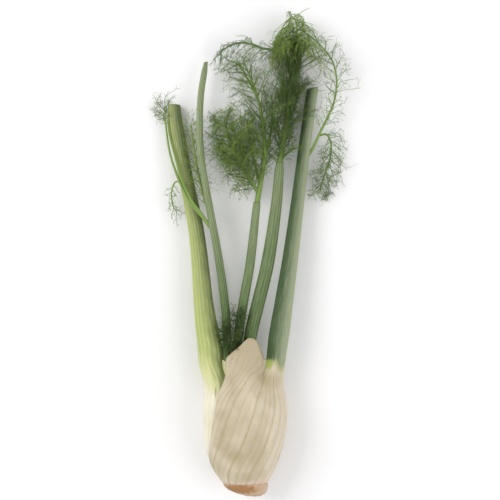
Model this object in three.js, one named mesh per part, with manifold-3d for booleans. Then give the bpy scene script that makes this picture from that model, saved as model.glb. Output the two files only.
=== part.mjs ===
// A fennel bulb as it is pulled and trimmed: swollen leaf bases, leaf stalks and feathery fronds.
// It lies on its flatter side. Millimetres, +Z up: +Y runs from the root cut to the tips of the
// fronds, and the origin is on the surface it rests on, under the belly of the bulb.
import * as THREE from "three";
import { mergeVertices } from "three/addons/utils/BufferGeometryUtils.js";
import Module from "manifold-3d";

const wasm = await Module();
wasm.setup();

const { sin, cos, max, min, abs, sign, PI } = Math;
const RADIANS = PI / 180;

// Driving dimensions
const BULB_BOTTOM = -68; // where the leaf bases meet the root plate
const ROOT_CUT = -81; // the trimmed end of the root plate
const AXIS_HEIGHT = 30.2; // the bulb's own axis above the surface it rests on
const LAYER_GAP = 1; // between one leaf base and the next
const MARGIN = 1; // thickness of a leaf base at its free edge
const RIB = 0.45; // height of a rib above the groove beside it, halved
const LOWEST_THREAD = 0.4; // how near the surface the frond threads come
const SHOOT_RADIUS = 0.85; // of a frond's side shoot, near its root
const SHOOT_TIP_RADIUS = 0.55; // of a side shoot, near its tip
const THREAD_RADIUS = 0.35; // of a frond's thread-like leaflet, about halfway along
const NODE_LENGTH = 1.3; // of the stretch of a side shoot that a whorl of leaflets grows from
const ROOM_WITHIN = 0.2; // clear distance between the threads of one frond
const ROOM_BETWEEN = 0.9; // clear distance from a frond to every other part

// A smooth curve through [position, value] pairs, level beyond its ends.
function through(pairs) {
  const slope = pairs.map((_, i) => {
    const a = pairs[max(i - 1, 0)];
    const b = pairs[min(i + 1, pairs.length - 1)];
    return (b[1] - a[1]) / (b[0] - a[0]);
  });
  return (y) => {
    if (y <= pairs[0][0]) return pairs[0][1];
    if (y >= pairs.at(-1)[0]) return pairs.at(-1)[1];
    const i = pairs.findIndex((p) => p[0] > y) - 1;
    const step = pairs[i + 1][0] - pairs[i][0];
    const t = (y - pairs[i][0]) / step;
    return (
      pairs[i][1] * (1 + 2 * t) * (1 - t) ** 2 +
      slope[i] * step * t * (1 - t) ** 2 +
      pairs[i + 1][1] * t * t * (3 - 2 * t) +
      slope[i + 1] * step * t * t * (t - 1)
    );
  };
}

const smoothstep = (from, to, x) => THREE.MathUtils.smoothstep(x, from, to);
const mix = THREE.MathUtils.lerp;
const clamp01 = (x) => min(max(x, 0), 1);
const THICK_FROM = 30; // degrees in from its free edge, where a leaf base has its full thickness
const thickening = (degrees) => clamp01(degrees / THICK_FROM);
const vary = (i, k) => sin(12.9898 * i + 78.233 * k); // an uneven rule from -1 to 1, the same each run

// The outline of the whole bulb, along Y
const bulb = {
  halfWidth: through([
    [-70, 21.5], [-58, 29.2], [-45, 34.8], [-31, 38.9], [-16, 41],
    [0, 41.8], [16, 41], [32, 39.6], [48, 38.6], [80, 38],
  ]),
  halfDepth: through([
    [-70, 15], [-58, 22], [-45, 27], [-31, 29.6], [-16, 30.8],
    [0, 31], [16, 29.8], [32, 26.5], [48, 21.5], [60, 17.5], [80, 14],
  ]),
  middle: through([[-70, 0], [-50, -1.2], [-31, -1.2], [0, 0.2], [32, -0.8], [80, -1]]),
};

// A point of the bulb's skin, or inset below it. side is 1 for a leaf on the right and -1 on the left,
// and angle is measured from the middle of that leaf, in degrees, positive towards the top.
function skin(side, angle, y, inset) {
  const x = bulb.middle(y) + side * (bulb.halfWidth(y) - inset) * cos(angle * RADIANS);
  const z = AXIS_HEIGHT + (bulb.halfDepth(y) - inset) * sin(angle * RADIANS);
  return new THREE.Vector3(x, y, max(z, 0));
}

// Triangles between two lines of points, which need not hold the same number of points.
function band(corners, a, b) {
  let i = 0;
  let j = 0;
  while (i < a.length - 1 || j < b.length - 1) {
    const aIsBehind = (i + 1) * (b.length - 1) <= (j + 1) * (a.length - 1);
    if (j === b.length - 1 || (i < a.length - 1 && aIsBehind)) corners.push(a[i], a[++i], b[j]);
    else corners.push(a[i], b[++j], b[j - 1]);
  }
}

const closed = (ring) => [...ring, ring[0]];

function cap(corners, ring, facing) {
  const middle = new THREE.Vector3();
  ring.forEach((p) => middle.addScaledVector(p, 1 / ring.length));
  ring.forEach((p, i) => {
    const next = ring[(i + 1) % ring.length];
    corners.push(...(facing > 0 ? [middle, p, next] : [middle, next, p]));
  });
}

// A closed surface from corner points, turned to face outwards.
function closedGeometry(corners) {
  let volume = 0;
  for (let i = 0; i < corners.length; i += 3) {
    const [a, b, c] = corners.slice(i, i + 3);
    volume += a.dot(new THREE.Vector3().crossVectors(b, c));
  }
  if (volume < 0) corners.reverse();
  return mergeVertices(new THREE.BufferGeometry().setFromPoints(corners), 1e-3);
}

function loft(rings) {
  const corners = [];
  rings.slice(1).forEach((ring, i) => {
    band(corners, closed(rings[i]), closed(ring));
  });
  cap(corners, rings[0], -1);
  cap(corners, rings.at(-1), 1);
  return closedGeometry(corners);
}

// A leaf that wraps the bulb as a ribbed sheath and runs on as a stalk. Its columns follow the ribs.
// Columns from keel[0] to keel[1] gather into the stalk; the rest end in the sheath's free top edge.
const ROWS = 12; // from the root plate to the top of a sheath
const COLUMNS_PER_RIB = 2; // a crest and a groove
const INNER_STEP = 2; // outer columns to each inner one
const CHANNEL = 150; // where the stalk's inner channel starts, in degrees from the stalk's middle
const CHANNEL_TURNS = [CHANNEL + 20, CHANNEL + 40]; // two more points, inside the channel
const STALK_FACES = 13; // round the stalk, from one lip of the channel to the other
const SHOULDER = 0.16; // how far beside the stalk, in stalk widths, the sheath is drawn up with it
const RIBS_START = 2; // ribs are flat where the leaf rests, and full from RIBS_FULL above the surface
const RIBS_FULL = 9;
const COVERED_FROM = 0.4; // depth below the skin where a covered stretch starts to lose its ribs
function sheathLeaf(leaf) {
  const { stalk } = leaf;
  const ribColumns = leaf.ribs * COLUMNS_PER_RIB;
  const [keelBack, keelFront] = leaf.keel;
  const along = (u) => (u * ribColumns - keelBack) / (keelFront - keelBack);
  const angleAt = (u, y) => mix(leaf.backEdge(y), leaf.frontEdge(y), u);

  const stalkPoint = (turn, y, relief, inner) => {
    const halfWidth = stalk.halfWidth(y) * (inner ? stalk.channel : 1) + relief;
    return new THREE.Vector3(
      stalk.x(y) + leaf.side * halfWidth * cos(turn * RADIANS),
      y,
      stalk.z(y) + (stalk.halfDepth(y) + relief) * sin(turn * RADIANS),
    );
  };
  // How far a column has left the bulb and joined the stalk, from 0 to 1
  const gathered = (u, y) => {
    const beyond = max(along(u) - 1, -along(u), 0);
    return smoothstep(leaf.gather[0], leaf.gather[1], y) * (1 - smoothstep(0, SHOULDER, beyond));
  };
  const wall = (u, y) => {
    const toEdge = min(leaf.frontEdge(y) - angleAt(u, y), angleAt(u, y) - leaf.backEdge(y));
    return mix(MARGIN, leaf.thickness(y), thickening(toEdge));
  };
  const outerPoint = (u, y) => {
    const crest = Math.round(u * ribColumns) % COLUMNS_PER_RIB ? 1 : -1;
    const angle = angleAt(u, y);
    const lifted = smoothstep(RIBS_START, RIBS_FULL, skin(leaf.side, angle, y, 0).z);
    const inset = leaf.under(angle, y);
    const covered = smoothstep(COVERED_FROM, MARGIN + LAYER_GAP, inset);
    const relief = crest * RIB * lifted * (1 - covered) * (u > 0 && u < 1 ? 1 : 0);
    const onBulb = skin(leaf.side, angle, y, inset - relief);
    const onStalk = stalkPoint(mix(-CHANNEL, CHANNEL, clamp01(along(u))), y, relief, false);
    return onBulb.lerp(onStalk, gathered(u, y));
  };
  const innerPoint = (u, y) => {
    const angle = angleAt(u, y);
    const onBulb = skin(leaf.side, angle, y, leaf.under(angle, y) + wall(u, y));
    const onStalk = stalkPoint(mix(360 - CHANNEL, CHANNEL, clamp01(along(u))), y, 0, true);
    return onBulb.lerp(onStalk, gathered(u, y));
  };
  const gridOf = (point, columns) =>
    Array.from({ length: ROWS + 1 }, (_, j) =>
      Array.from({ length: columns + 1 }, (_, i) => {
        const u = i / columns;
        return point(u, mix(BULB_BOTTOM, leaf.topEdge(u), j / ROWS));
      }),
    );
  const outer = gridOf(outerPoint, ribColumns);
  const inner = gridOf(innerPoint, ribColumns / INNER_STEP);

  const corners = [];
  const column = (grid, i) => grid.map((row) => row.at(i));
  outer.slice(1).forEach((row, j) => band(corners, outer[j], row));
  inner.slice(1).forEach((row, j) => band(corners, row, inner[j]));
  band(corners, inner[0], outer[0]);
  band(corners, column(outer, 0), column(inner, 0));
  band(corners, column(inner, -1), column(outer, -1));
  const outerTop = outer.at(-1);
  const innerTop = inner.at(-1);
  const innerBack = keelBack / INNER_STEP;
  const innerFront = keelFront / INNER_STEP;
  band(corners, outerTop.slice(0, keelBack + 1), innerTop.slice(0, innerBack + 1));
  band(corners, outerTop.slice(keelFront), innerTop.slice(innerFront));

  // The stalk: first the fine ring that the sheath ends in, then fewer, larger ribs
  const outerTurns = Array.from({ length: STALK_FACES + 1 }, (_, k) =>
    mix(-CHANNEL, CHANNEL, k / STALK_FACES),
  );
  const turns = [...outerTurns, ...CHANNEL_TURNS];
  const rings = stalk.stations.map((y, i, all) => {
    const cut = i === all.length - 1 ? stalk.cutSlope : 0;
    return turns.map((turn, k) => {
      const relief = (k % 2 ? -1 : 1) * stalk.ribHeight;
      const p = stalkPoint(turn, y, relief, k > STALK_FACES);
      p.y += cut * (p.x - stalk.x(y));
      return p;
    });
  });
  band(corners, outerTop.slice(keelBack, keelFront + 1), rings[0].slice(0, STALK_FACES + 1));
  const channelTop = innerTop.slice(innerBack, innerFront + 1).reverse();
  const acrossTop = [outerTop[keelFront], ...channelTop, outerTop[keelBack]];
  band(corners, acrossTop, [...rings[0].slice(STALK_FACES), rings[0][0]]);
  rings.slice(1).forEach((ring, i) => band(corners, closed(rings[i]), closed(ring)));
  cap(corners, rings.at(-1), 1);
  return closedGeometry(corners);
}

// The outermost leaf sits on the right. Its sheath wraps the front as far as the left side.
const rightEdges = {
  front: through([[-68, 205], [-50, 178], [-30, 151], [0, 138], [20, 131], [39, 119], [58, 118], [80, 115]]),
  back: through([[-68, -150], [-30, -128], [0, -118], [25, -92], [42, -66], [58, -58], [80, -56]]),
};
const outerRight = {
  side: 1,
  ribs: 24,
  keel: [2, 34],
  frontEdge: rightEdges.front,
  backEdge: rightEdges.back,
  thickness: through([[-68, 4.5], [-40, 6.2], [0, 6.4], [30, 5], [50, 3.2], [80, 2.2]]),
  under: () => 0,
  // The free top edge: a notch beside the stalk, a peak over the heart, and down to the left margin
  topEdge: through([
    [0, 47], [0.042, 54], [0.708, 54], [0.745, 56], [0.76, 63.5], [0.78, 74],
    [0.8, 77], [0.83, 75.5], [0.88, 69.5], [0.94, 63.5], [1, 57],
  ]),
  gather: [12, 54],
  stalk: {
    x: through([[0, 22], [50, 29.5], [77, 33], [110, 38], [160, 45.5], [220, 53.5], [270, 60], [329, 68.4]]),
    z: through([[0, 30], [50, 30.5], [77, 30.5], [160, 24.5], [240, 16], [329, 5.8]]),
    halfWidth: through([[0, 12], [50, 10.2], [77, 11], [110, 10], [160, 8.4], [240, 6.8], [329, 6.2]]),
    halfDepth: through([[0, 10], [50, 9], [77, 9.4], [160, 7.6], [240, 6.4], [329, 5.4]]),
    stations: [62, 77, 100, 140, 190, 240, 285, 329],
    ribHeight: 0.3,
    channel: 0.8,
    cutSlope: 0.25,
  },
};

// How much of the right leaf lies over a place on the left leaf, so that the left leaf passes under it.
const BESIDE_EDGE = 16; // degrees beside the right leaf's edge over which the left leaf dips under it
const OUT_OF_EDGE = 0.3; // depth of the left leaf below the bulb's outline where nothing covers it
const leftAngle = (degrees) => 180 - degrees;
const backAsLeft = (y) => -180 - rightEdges.back(y);
function lyingOver(angle, y) {
  const past = max(angle - leftAngle(rightEdges.front(y)), backAsLeft(y) - angle);
  const cover = mix(MARGIN, outerRight.thickness(y), thickening(past)) + LAYER_GAP;
  return past >= 0 ? cover : mix(OUT_OF_EDGE, MARGIN + LAYER_GAP, smoothstep(-BESIDE_EDGE, 0, past));
}
const TUCKED_UNDER = 24; // degrees that each margin of the left leaf runs on under the right leaf
const outerLeft = {
  side: -1,
  ribs: 16,
  keel: [2, 30],
  frontEdge: (y) => min(leftAngle(rightEdges.front(y)) + TUCKED_UNDER, 92),
  backEdge: (y) => max(backAsLeft(y) - TUCKED_UNDER, -108),
  thickness: through([[-68, 4], [-40, 5.4], [0, 5.6], [30, 5], [50, 4], [80, 3]]),
  under: lyingOver,
  topEdge: through([[0, 38], [0.062, 50], [0.938, 54.5], [0.969, 54.5], [1, 50]]),
  gather: [8, 50],
  stalk: {
    x: through([
      [0, -22], [40, -31.5], [69, -34.6], [94, -38.8], [115, -41.4],
      [159, -45.6], [191, -50], [242, -60.5], [273, -66.8], [297, -70.8], [312, -71.8],
    ]),
    z: through([[0, 30], [50, 29.5], [94, 27], [160, 20.5], [242, 11.6], [312, 6.4]]),
    halfWidth: through([
      [0, 12], [50, 13.2], [69, 12.9], [94, 11.4], [115, 10.2],
      [159, 8.9], [191, 8.2], [242, 7.6], [273, 8.1], [297, 7.5], [312, 6.3],
    ]),
    halfDepth: through([[0, 10], [50, 10], [94, 9.4], [159, 7.8], [242, 6.6], [312, 6]]),
    stations: [60, 78, 100, 140, 190, 235, 273, 312],
    ribHeight: 0.35,
    channel: 0.75,
    cutSlope: -0.05,
  },
};

// An inner leaf: a solid base packed inside the bulb, then a stalk. Its section goes from boxy to round
// as it leaves the bulb: the boxier it is, the lower the power of its sine and cosine.
const INNER_SIDES = 12;
const INNER_RIB = 0.25; // height of an inner stalk's ribs above its mean surface
const BOXY = 0.75;
const STALKS_START = 54; // where the stalks come out of the bulb
function innerLeaf(leaf) {
  return loft(
    leaf.stations.map((y, i, all) => {
      const boxy = mix(BOXY, 1, smoothstep(20, 70, y));
      const cut = i === all.length - 1 ? leaf.cutSlope : 0;
      return Array.from({ length: INNER_SIDES }, (_, k) => {
        const turn = (2 * PI * k) / INNER_SIDES;
        const relief = k % 2 ? INNER_RIB : -INNER_RIB;
        const across = sign(cos(turn)) * abs(cos(turn)) ** boxy * (leaf.halfWidth(y) + relief);
        const up = sign(sin(turn)) * abs(sin(turn)) ** boxy * (leaf.halfDepth(y) + relief);
        return new THREE.Vector3(leaf.x(y) + across, y + cut * across, leaf.z(y) + up);
      });
    }),
  );
}

const innerRight = {
  x: through([
    [-60, 5], [-20, 13], [20, 12], [54, 4], [80, 6], [110, 13], [150, 22.5], [210, 31.5], [252, 35],
  ]),
  z: through([[-60, 30], [20, 30], [54, 28.5], [150, 29], [252, 25]]),
  halfWidth: through([
    [-60, 3], [-20, 7.8], [20, 7], [54, 5.8], [90, 6.6], [150, 6.6], [210, 5.4], [252, 4.4],
  ]),
  halfDepth: through([[-60, 5], [-20, 15], [20, 12.5], [54, 7.6], [90, 7], [150, 6.2], [252, 4.2]]),
  stations: [-60, -40, -20, 0, 20, 38, 54, 80, 115, 150, 200, 252],
  cutSlope: 0,
};
const heart = {
  x: through([[-60, -1], [-20, -2.4], [20, -3.2], [54, -8], [80, -6.5], [110, -2], [160, 5], [212, 12]]),
  z: through([[-60, 30], [20, 30], [54, 29], [120, 32.5], [212, 27]]),
  halfWidth: through([[-60, 2], [-20, 6.4], [20, 6], [54, 4.7], [100, 4.7], [160, 4.4], [212, 3.6]]),
  halfDepth: through([[-60, 5], [-20, 18], [20, 15.5], [54, 8.2], [100, 5], [212, 3.5]]),
  stations: [-60, -40, -20, 0, 20, 38, 54, 80, 120, 160, 212],
  cutSlope: 0,
};
const innerLeft = {
  x: through([
    [-60, -7], [-20, -17.4], [20, -17], [54, -18.2], [80, -18.2], [110, -20],
    [160, -27], [215, -37], [264, -44.6], [314, -45], [354, -39.6],
  ]),
  z: through([[-60, 30], [20, 30], [54, 30], [120, 31.5], [215, 28.5], [300, 22], [354, 17]]),
  halfWidth: through([
    [-60, 2.4], [-20, 6.6], [20, 5.2], [38, 4.4], [54, 4.3],
    [100, 4.2], [160, 3.9], [264, 3.2], [340, 2.9], [354, 2.2],
  ]),
  halfDepth: through([
    [-60, 4], [-20, 13], [20, 9.6], [38, 6.4], [54, 5.4], [100, 4.2], [264, 3.1], [340, 2.8], [354, 2.1],
  ]),
  stations: [-60, -40, -20, 0, 20, 38, 54, 80, 120, 160, 215, 264, 314, 340, 354],
  cutSlope: 0.2,
};

// The stem that all the leaves grow from, trimmed below: its cut face looks a little to the right.
const ROOT_SIDES = 24;
const KNOBBLY = 0.035; // how uneven the root plate is, as a share of its width
function rootPlate() {
  const profile = [
    { y: BULB_BOTTOM - 0.4, width: 21.5, depth: 15.5, x: 0.4 },
    { y: -71.5, width: 22, depth: 16, x: 1.2 },
    { y: -75, width: 19.5, depth: 14.5, x: 3.2 },
    { y: -78.5, width: 14.5, depth: 11, x: 6 },
    { y: ROOT_CUT, width: 8.5, depth: 7, x: 8.5 },
  ];
  return loft(
    profile.map((ring, i) =>
      Array.from({ length: ROOT_SIDES }, (_, k) => {
        const turn = (2 * PI * k) / ROOT_SIDES;
        const knobbly = 1 + KNOBBLY * vary(k, i);
        return new THREE.Vector3(
          ring.x + ring.width * knobbly * cos(turn),
          ring.y,
          AXIS_HEIGHT + ring.depth * knobbly * sin(turn),
        );
      }),
    ),
  );
}

// Fronds. Each is a set of green stems that carry side shoots, which carry thread-like leaflets.
// A stem's path is [x, y, z] points; its shoots spread by an angle and curve towards droop.
const fronds = {
  frond_inner_right: [
    {
      path: [[35, 253, 25], [38, 270, 25], [43, 300, 25], [47, 330, 25], [49, 352, 25], [50, 364, 25]],
      from: 3.4, to: 1, shoots: 24, start: 0.02, allRound: true,
      reach: [[0, 30], [0.3, 38], [0.5, 40], [0.8, 30], [1, 20]],
      spread: [[0, 42], [0.12, 27], [0.3, 19], [1, 20]], droop: [[0, 0.3], [0.2, 0], [1, 0]],
    },
    {
      path: [[48, 342, 25], [51, 366, 27], [52, 386, 27], [50, 396, 25], [45, 400, 22]],
      from: 1.4, to: 0.7, shoots: 18, start: 0.3,
      reach: [[0, 26], [0.4, 34], [0.8, 28], [1, 22]],
      spread: [[0, 50], [0.5, 62], [1, 74]], droop: [[0, 0.9], [0.5, 1.3], [1, 1.5]],
    },
    {
      path: [
        [46, 338, 26], [41, 354, 28], [32, 363, 29], [18, 366, 28],
        [4, 371, 26], [-7, 372, 24], [-19, 368, 20], [-28, 360, 15],
      ],
      from: 1.6, to: 0.7, shoots: 14, start: 0.15,
      reach: [[0, 20], [0.5, 17], [1, 9]],
      spread: [[0, 30], [1, 38]], droop: [[0, 0.3], [1, 1]],
    },
  ],
  frond_heart: [
    {
      path: [
        [12, 213, 27], [17, 240, 25], [20, 264, 23], [18, 290, 21],
        [13, 316, 19], [3, 336, 17], [-7, 352, 15], [-20, 357, 12],
      ],
      from: 2.9, to: 0.7, shoots: 18, start: 0.2,
      reach: [[0, 26], [0.5, 38], [1, 14]],
      spread: [[0, 50], [0.3, 36], [1, 42]], droop: [[0, 0.2], [0.3, 0], [0.6, 0.1], [1, 0.5]],
    },
    {
      path: [[14, 220, 26.5], [3, 238, 29], [-8, 256, 31], [-16, 276, 32], [-21, 294, 31]],
      from: 2, to: 0.7, shoots: 17, start: 0.1,
      reach: [[0, 22], [0.3, 26], [0.5, 26], [1, 15]],
      spread: [[0, 62], [0.3, 42], [1, 44]], droop: [[0, 0.2], [0.3, 0], [1, 0]],
    },
    {
      path: [[16, 228, 26], [10, 250, 25], [5, 274, 25], [2, 296, 24]],
      from: 1.5, to: 0.7, shoots: 8, start: 0.1,
      reach: [[0, 20], [0.4, 24], [0.6, 24], [1, 14]],
      spread: [[0, 56], [0.4, 30], [1, 36]], droop: [[0, 0.2], [0.3, 0], [1, 0]],
    },
    {
      path: [[18, 246, 25], [24, 270, 23], [27, 296, 21], [27, 322, 19]],
      from: 1.4, to: 0.7, shoots: 8, start: 0.1,
      reach: [[0, 20], [0.4, 24], [0.6, 24], [1, 14]],
      spread: [[0, 50], [0.4, 28], [1, 36]], droop: [[0, 0.2], [0.3, 0], [1, 0]],
    },
  ],
  frond_outer_right: [
    {
      path: [
        [69, 268, 13], [76.5, 284, 14], [84, 299, 16], [90, 314, 18], [92.5, 333, 20],
        [89.5, 350, 22], [83, 362, 22], [71, 375, 21], [62, 383, 18],
      ],
      from: 1.45, to: 0.7, shoots: 15, start: 0.16,
      reach: [[0, 12], [0.4, 17], [0.7, 22], [1, 16]],
      spread: [[0, 38], [1, 45]], droop: [[0, 0], [0.5, 0.1], [1, 0.9]],
    },
    {
      path: [[74.5, 280, 13.6], [83, 281, 12], [87.5, 271, 11], [86, 255, 10], [80, 238, 9], [76, 224, 8]],
      from: 1.3, to: 0.7, shoots: 12, start: 0.15,
      reach: [[0, 16], [0.6, 19], [1, 12]],
      spread: [[0, 55], [1, 42]], droop: [[0, 0.3], [1, 0.3]],
    },
  ],
  frond_outer_left: [
    {
      path: [
        [-38.8, 192, 29], [-46, 201, 28.5], [-55, 212, 26.5], [-64.2, 229.2, 23],
        [-72.2, 249.3, 18.5], [-77.2, 267.5, 14], [-80.7, 292, 10.5], [-82, 310.5, 9],
      ],
      from: 1.7, to: 0.8, shoots: 6, start: 0.86,
      reach: [[0, 9], [1, 17]],
      spread: [[0, 38], [1, 42]], droop: [[0, 0], [1, 0]],
    },
    {
      path: [
        [-39.4, 194, 29.6], [-44.8, 202, 29.6], [-53.2, 213, 28.2], [-62, 230.5, 25.2],
        [-68, 249.3, 20.5], [-73, 266.7, 16], [-76.8, 281.4, 13.5], [-79, 298, 11.5],
      ],
      from: 1.5, to: 0.8, shoots: 1, start: 0.93,
      reach: [[0, 8], [1, 10]],
      spread: [[0, 30], [1, 30]], droop: [[0, 0], [1, 0]],
    },
    {
      path: [[-66, 233, 22.3], [-71, 232, 19], [-74.5, 222, 15], [-73.5, 210, 12], [-69, 202, 10]],
      from: 1, to: 0.7, shoots: 5, start: 0.3,
      reach: [[0, 8], [1, 10]],
      spread: [[0, 50], [1, 45]], droop: [[0, 0.3], [1, 0.3]],
    },
  ],
  frond_inner_left: [
    {
      path: [[-33.2, 196, 22], [-39, 211, 21.5], [-46, 236, 20.5], [-51, 264, 18], [-55, 292, 15]],
      from: 1.5, to: 0.7, shoots: 14, start: 0.2,
      reach: [[0, 17], [0.6, 20], [1, 14]],
      spread: [[0, 28], [1, 36]], droop: [[0, 0], [1, 0]],
    },
  ],
  frond_young: [
    {
      path: [[-2.5, 52, 37], [-3, 66, 38], [-5, 82, 38.5], [-6, 98, 39]],
      from: 1.6, to: 0.8, shoots: 6, start: 0.12,
      reach: [[0, 14], [1, 12]],
      spread: [[0, 34], [1, 40]], droop: [[0, 0], [1, 0]],
    },
    {
      path: [[-2.4, 55, 37.2], [-8, 60, 41], [-15, 70, 42], [-20, 84, 42]],
      from: 1.4, to: 0.7, shoots: 6, start: 0.2,
      reach: [[0, 12], [1, 13]],
      spread: [[0, 50], [1, 44]], droop: [[0, 0], [1, 0]],
    },
  ],
};

// Everything a new shoot or thread has to keep clear of, as straight lengths with a radius.
const laid = [];
function apart(a, b, c, d) {
  const u = new THREE.Vector3().subVectors(b, a);
  const v = new THREE.Vector3().subVectors(d, c);
  const w = new THREE.Vector3().subVectors(a, c);
  const [uu, uv, vv, uw, vw] = [u.dot(u), u.dot(v), v.dot(v), u.dot(w), v.dot(w)];
  const flat = uu * vv - uv * uv;
  let s = flat > 1e-9 ? min(max((uv * vw - vv * uw) / flat, 0), 1) : 0;
  const t = min(max((uv * s + vw) / vv, 0), 1);
  s = min(max((uv * t - uw) / uu, 0), 1);
  return w.addScaledVector(u, s).addScaledVector(v, -t).length();
}
// True if a line of points, with a radius, stays clear of what is laid, apart from its own parent.
function isClear(points, radius, owner, parent) {
  return points.slice(1).every((end, i) =>
    laid.every((other) => {
      if (other.name === parent) return true;
      const room = radius + other.radius + (other.owner === owner ? ROOM_WITHIN : ROOM_BETWEEN);
      return apart(points[i], end, other.a, other.b) > room;
    }),
  );
}
function lay(points, radiusAt, owner, name) {
  points.slice(1).forEach((end, i) => {
    laid.push({ a: points[i], b: end, radius: radiusAt(i / (points.length - 1)), owner, name });
  });
}

function solid(geometry) {
  return new wasm.Manifold(
    new wasm.Mesh({
      numProp: 3,
      vertProperties: geometry.attributes.position.array,
      triVerts: new Uint32Array(geometry.index.array),
    }),
  );
}

function fromSolid(made) {
  const mesh = made.getMesh();
  const geometry = new THREE.BufferGeometry();
  geometry.setAttribute("position", new THREE.BufferAttribute(mesh.vertProperties, 3));
  geometry.setIndex(new THREE.BufferAttribute(mesh.triVerts, 1));
  return geometry;
}

// Rings of points round a line. Each ring is { at, radius, twist }, with at from 0 to 1 along the curve.
function ringsAlong(curve, rings, sides) {
  return rings.map(({ at, radius, twist }) => {
    const middle = curve.getPointAt(at);
    const tangent = curve.getTangentAt(at);
    const across = new THREE.Vector3(0, 0, 1).cross(tangent).normalize();
    const up = new THREE.Vector3().crossVectors(tangent, across);
    return Array.from({ length: sides }, (_, k) => {
      const turn = (2 * PI * k) / sides + twist;
      return middle.clone()
        .addScaledVector(across, radius * cos(turn))
        .addScaledVector(up, radius * sin(turn));
    });
  });
}
const smoothCurve = (points) => new THREE.CatmullRomCurve3(points, false, "catmullrom", 0.5);
const stemCurve = (spec) => smoothCurve(spec.path.map((p) => new THREE.Vector3(...p)));

// A frond's main stem, which ends in a point
const STEM_SIDES = 5;
function stem(curve, spec) {
  const steps = 2 * (spec.path.length - 1);
  const rings = Array.from({ length: steps }, (_, i) => ({
    at: i / steps,
    radius: mix(spec.from, spec.to, i / steps),
    twist: 0,
  }));
  const placed = ringsAlong(curve, rings, STEM_SIDES);
  const corners = [];
  cap(corners, placed[0], -1);
  placed.slice(1).forEach((ring, i) => band(corners, closed(placed[i]), closed(ring)));
  band(corners, closed(placed.at(-1)), [curve.getPointAt(1)]);
  return solid(closedGeometry(corners));
}

// A side shoot is three-sided and pointed at both ends. At each of its nodes a thread-like leaflet
// grows out of each of its three faces, if threadTip finds a place for the leaflet's tip.
const ROOT_POINT = 1.2; // length of the pointed root of a shoot or thread
function shoot(curve, nodes, threadTip) {
  const length = curve.getLength();
  const half = NODE_LENGTH / 2 / length;
  const rings = nodes.flatMap((at, k) => {
    const radius = mix(SHOOT_RADIUS, SHOOT_TIP_RADIUS, at);
    return [{ at: at - half, radius, twist: k }, { at: at + half, radius, twist: k }];
  });
  const first = { at: ROOT_POINT / length, radius: SHOOT_RADIUS, twist: 0 };
  const placed = ringsAlong(curve, [first, ...rings], 3);
  const corners = [];
  band(corners, [curve.getPointAt(0)], closed(placed[0]));
  placed.slice(1).forEach((ring, i) => {
    const before = placed[i];
    if (i % 2 === 0) {
      band(corners, closed(before), closed(ring));
      return;
    }
    for (let k = 0; k < 3; k++) {
      const face = [before[k], before[(k + 1) % 3], ring[(k + 1) % 3], ring[k]];
      const tip = threadTip(face, curve.getTangentAt(nodes[(i - 1) / 2]), i * 3 + k);
      if (tip) face.forEach((p, n) => corners.push(p, face[(n + 1) % 4], tip));
      else corners.push(face[0], face[1], face[3], face[1], face[2], face[3]);
    }
  });
  band(corners, closed(placed.at(-1)), [curve.getPointAt(1)]);
  return solid(closedGeometry(corners));
}

// A direction that leaves a tangent by an angle, on the side given by a turn about it.
function leaving(tangent, angle, turn) {
  const across = new THREE.Vector3(0, 0, 1).cross(tangent).normalize();
  const up = new THREE.Vector3().crossVectors(tangent, across);
  return tangent.clone().multiplyScalar(cos(angle * RADIANS))
    .addScaledVector(across, sin(angle * RADIANS) * cos(turn))
    .addScaledVector(up, sin(angle * RADIANS) * sin(turn));
}
const offTheSurface = (p) => p.setZ(max(p.z, LOWEST_THREAD));
const DROOP = new THREE.Vector3(0, -1, 0);

// The line of a side shoot: it leaves the stem to one side and the next one to the other, unevenly,
// or all round the stem of a bushy frond, and bends towards droop. Each new attempt at a place for it
// is shorter and leaves another way.
const ROUND_STEP = 2.4; // radians from one shoot to the next where they leave all round
const LAST_SHOOT = 0.99; // where the last shoot leaves, as a share of the stem
const UNEVEN = { reach: 0.18, turn: 0.9, spread: 8 }; // shares, radians and degrees
const SHORTER = 0.08;
const OTHER_WAY = 1.2; // radians further round, from the fifth attempt on
const SHOOT_BEND = 0.7; // how far a shoot sinks for a droop of 1, as a share of its reach
function shootPoints(curve, spec, i, attempt) {
  const t = mix(spec.start, LAST_SHOOT, (i + 0.5) / spec.shoots);
  const root = curve.getPointAt(t);
  const reach = through(spec.reach)(t) * (1 + UNEVEN.reach * vary(i, 1)) * (1 - SHORTER * attempt);
  const side = spec.allRound ? i * ROUND_STEP : (i % 2) * PI;
  const turn = side + UNEVEN.turn * vary(i, 2 + attempt) + (attempt > 3 ? OTHER_WAY : 0);
  const spread = through(spec.spread)(t) + UNEVEN.spread * vary(i, 7 + attempt);
  const way = leaving(curve.getTangentAt(t), spread, turn);
  const droop = SHOOT_BEND * reach * through(spec.droop)(t);
  return [0, 0.34, 0.68, 1].map((s) =>
    offTheSurface(root.clone().addScaledVector(way, reach * s).addScaledVector(DROOP, droop * s * s)),
  );
}

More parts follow.
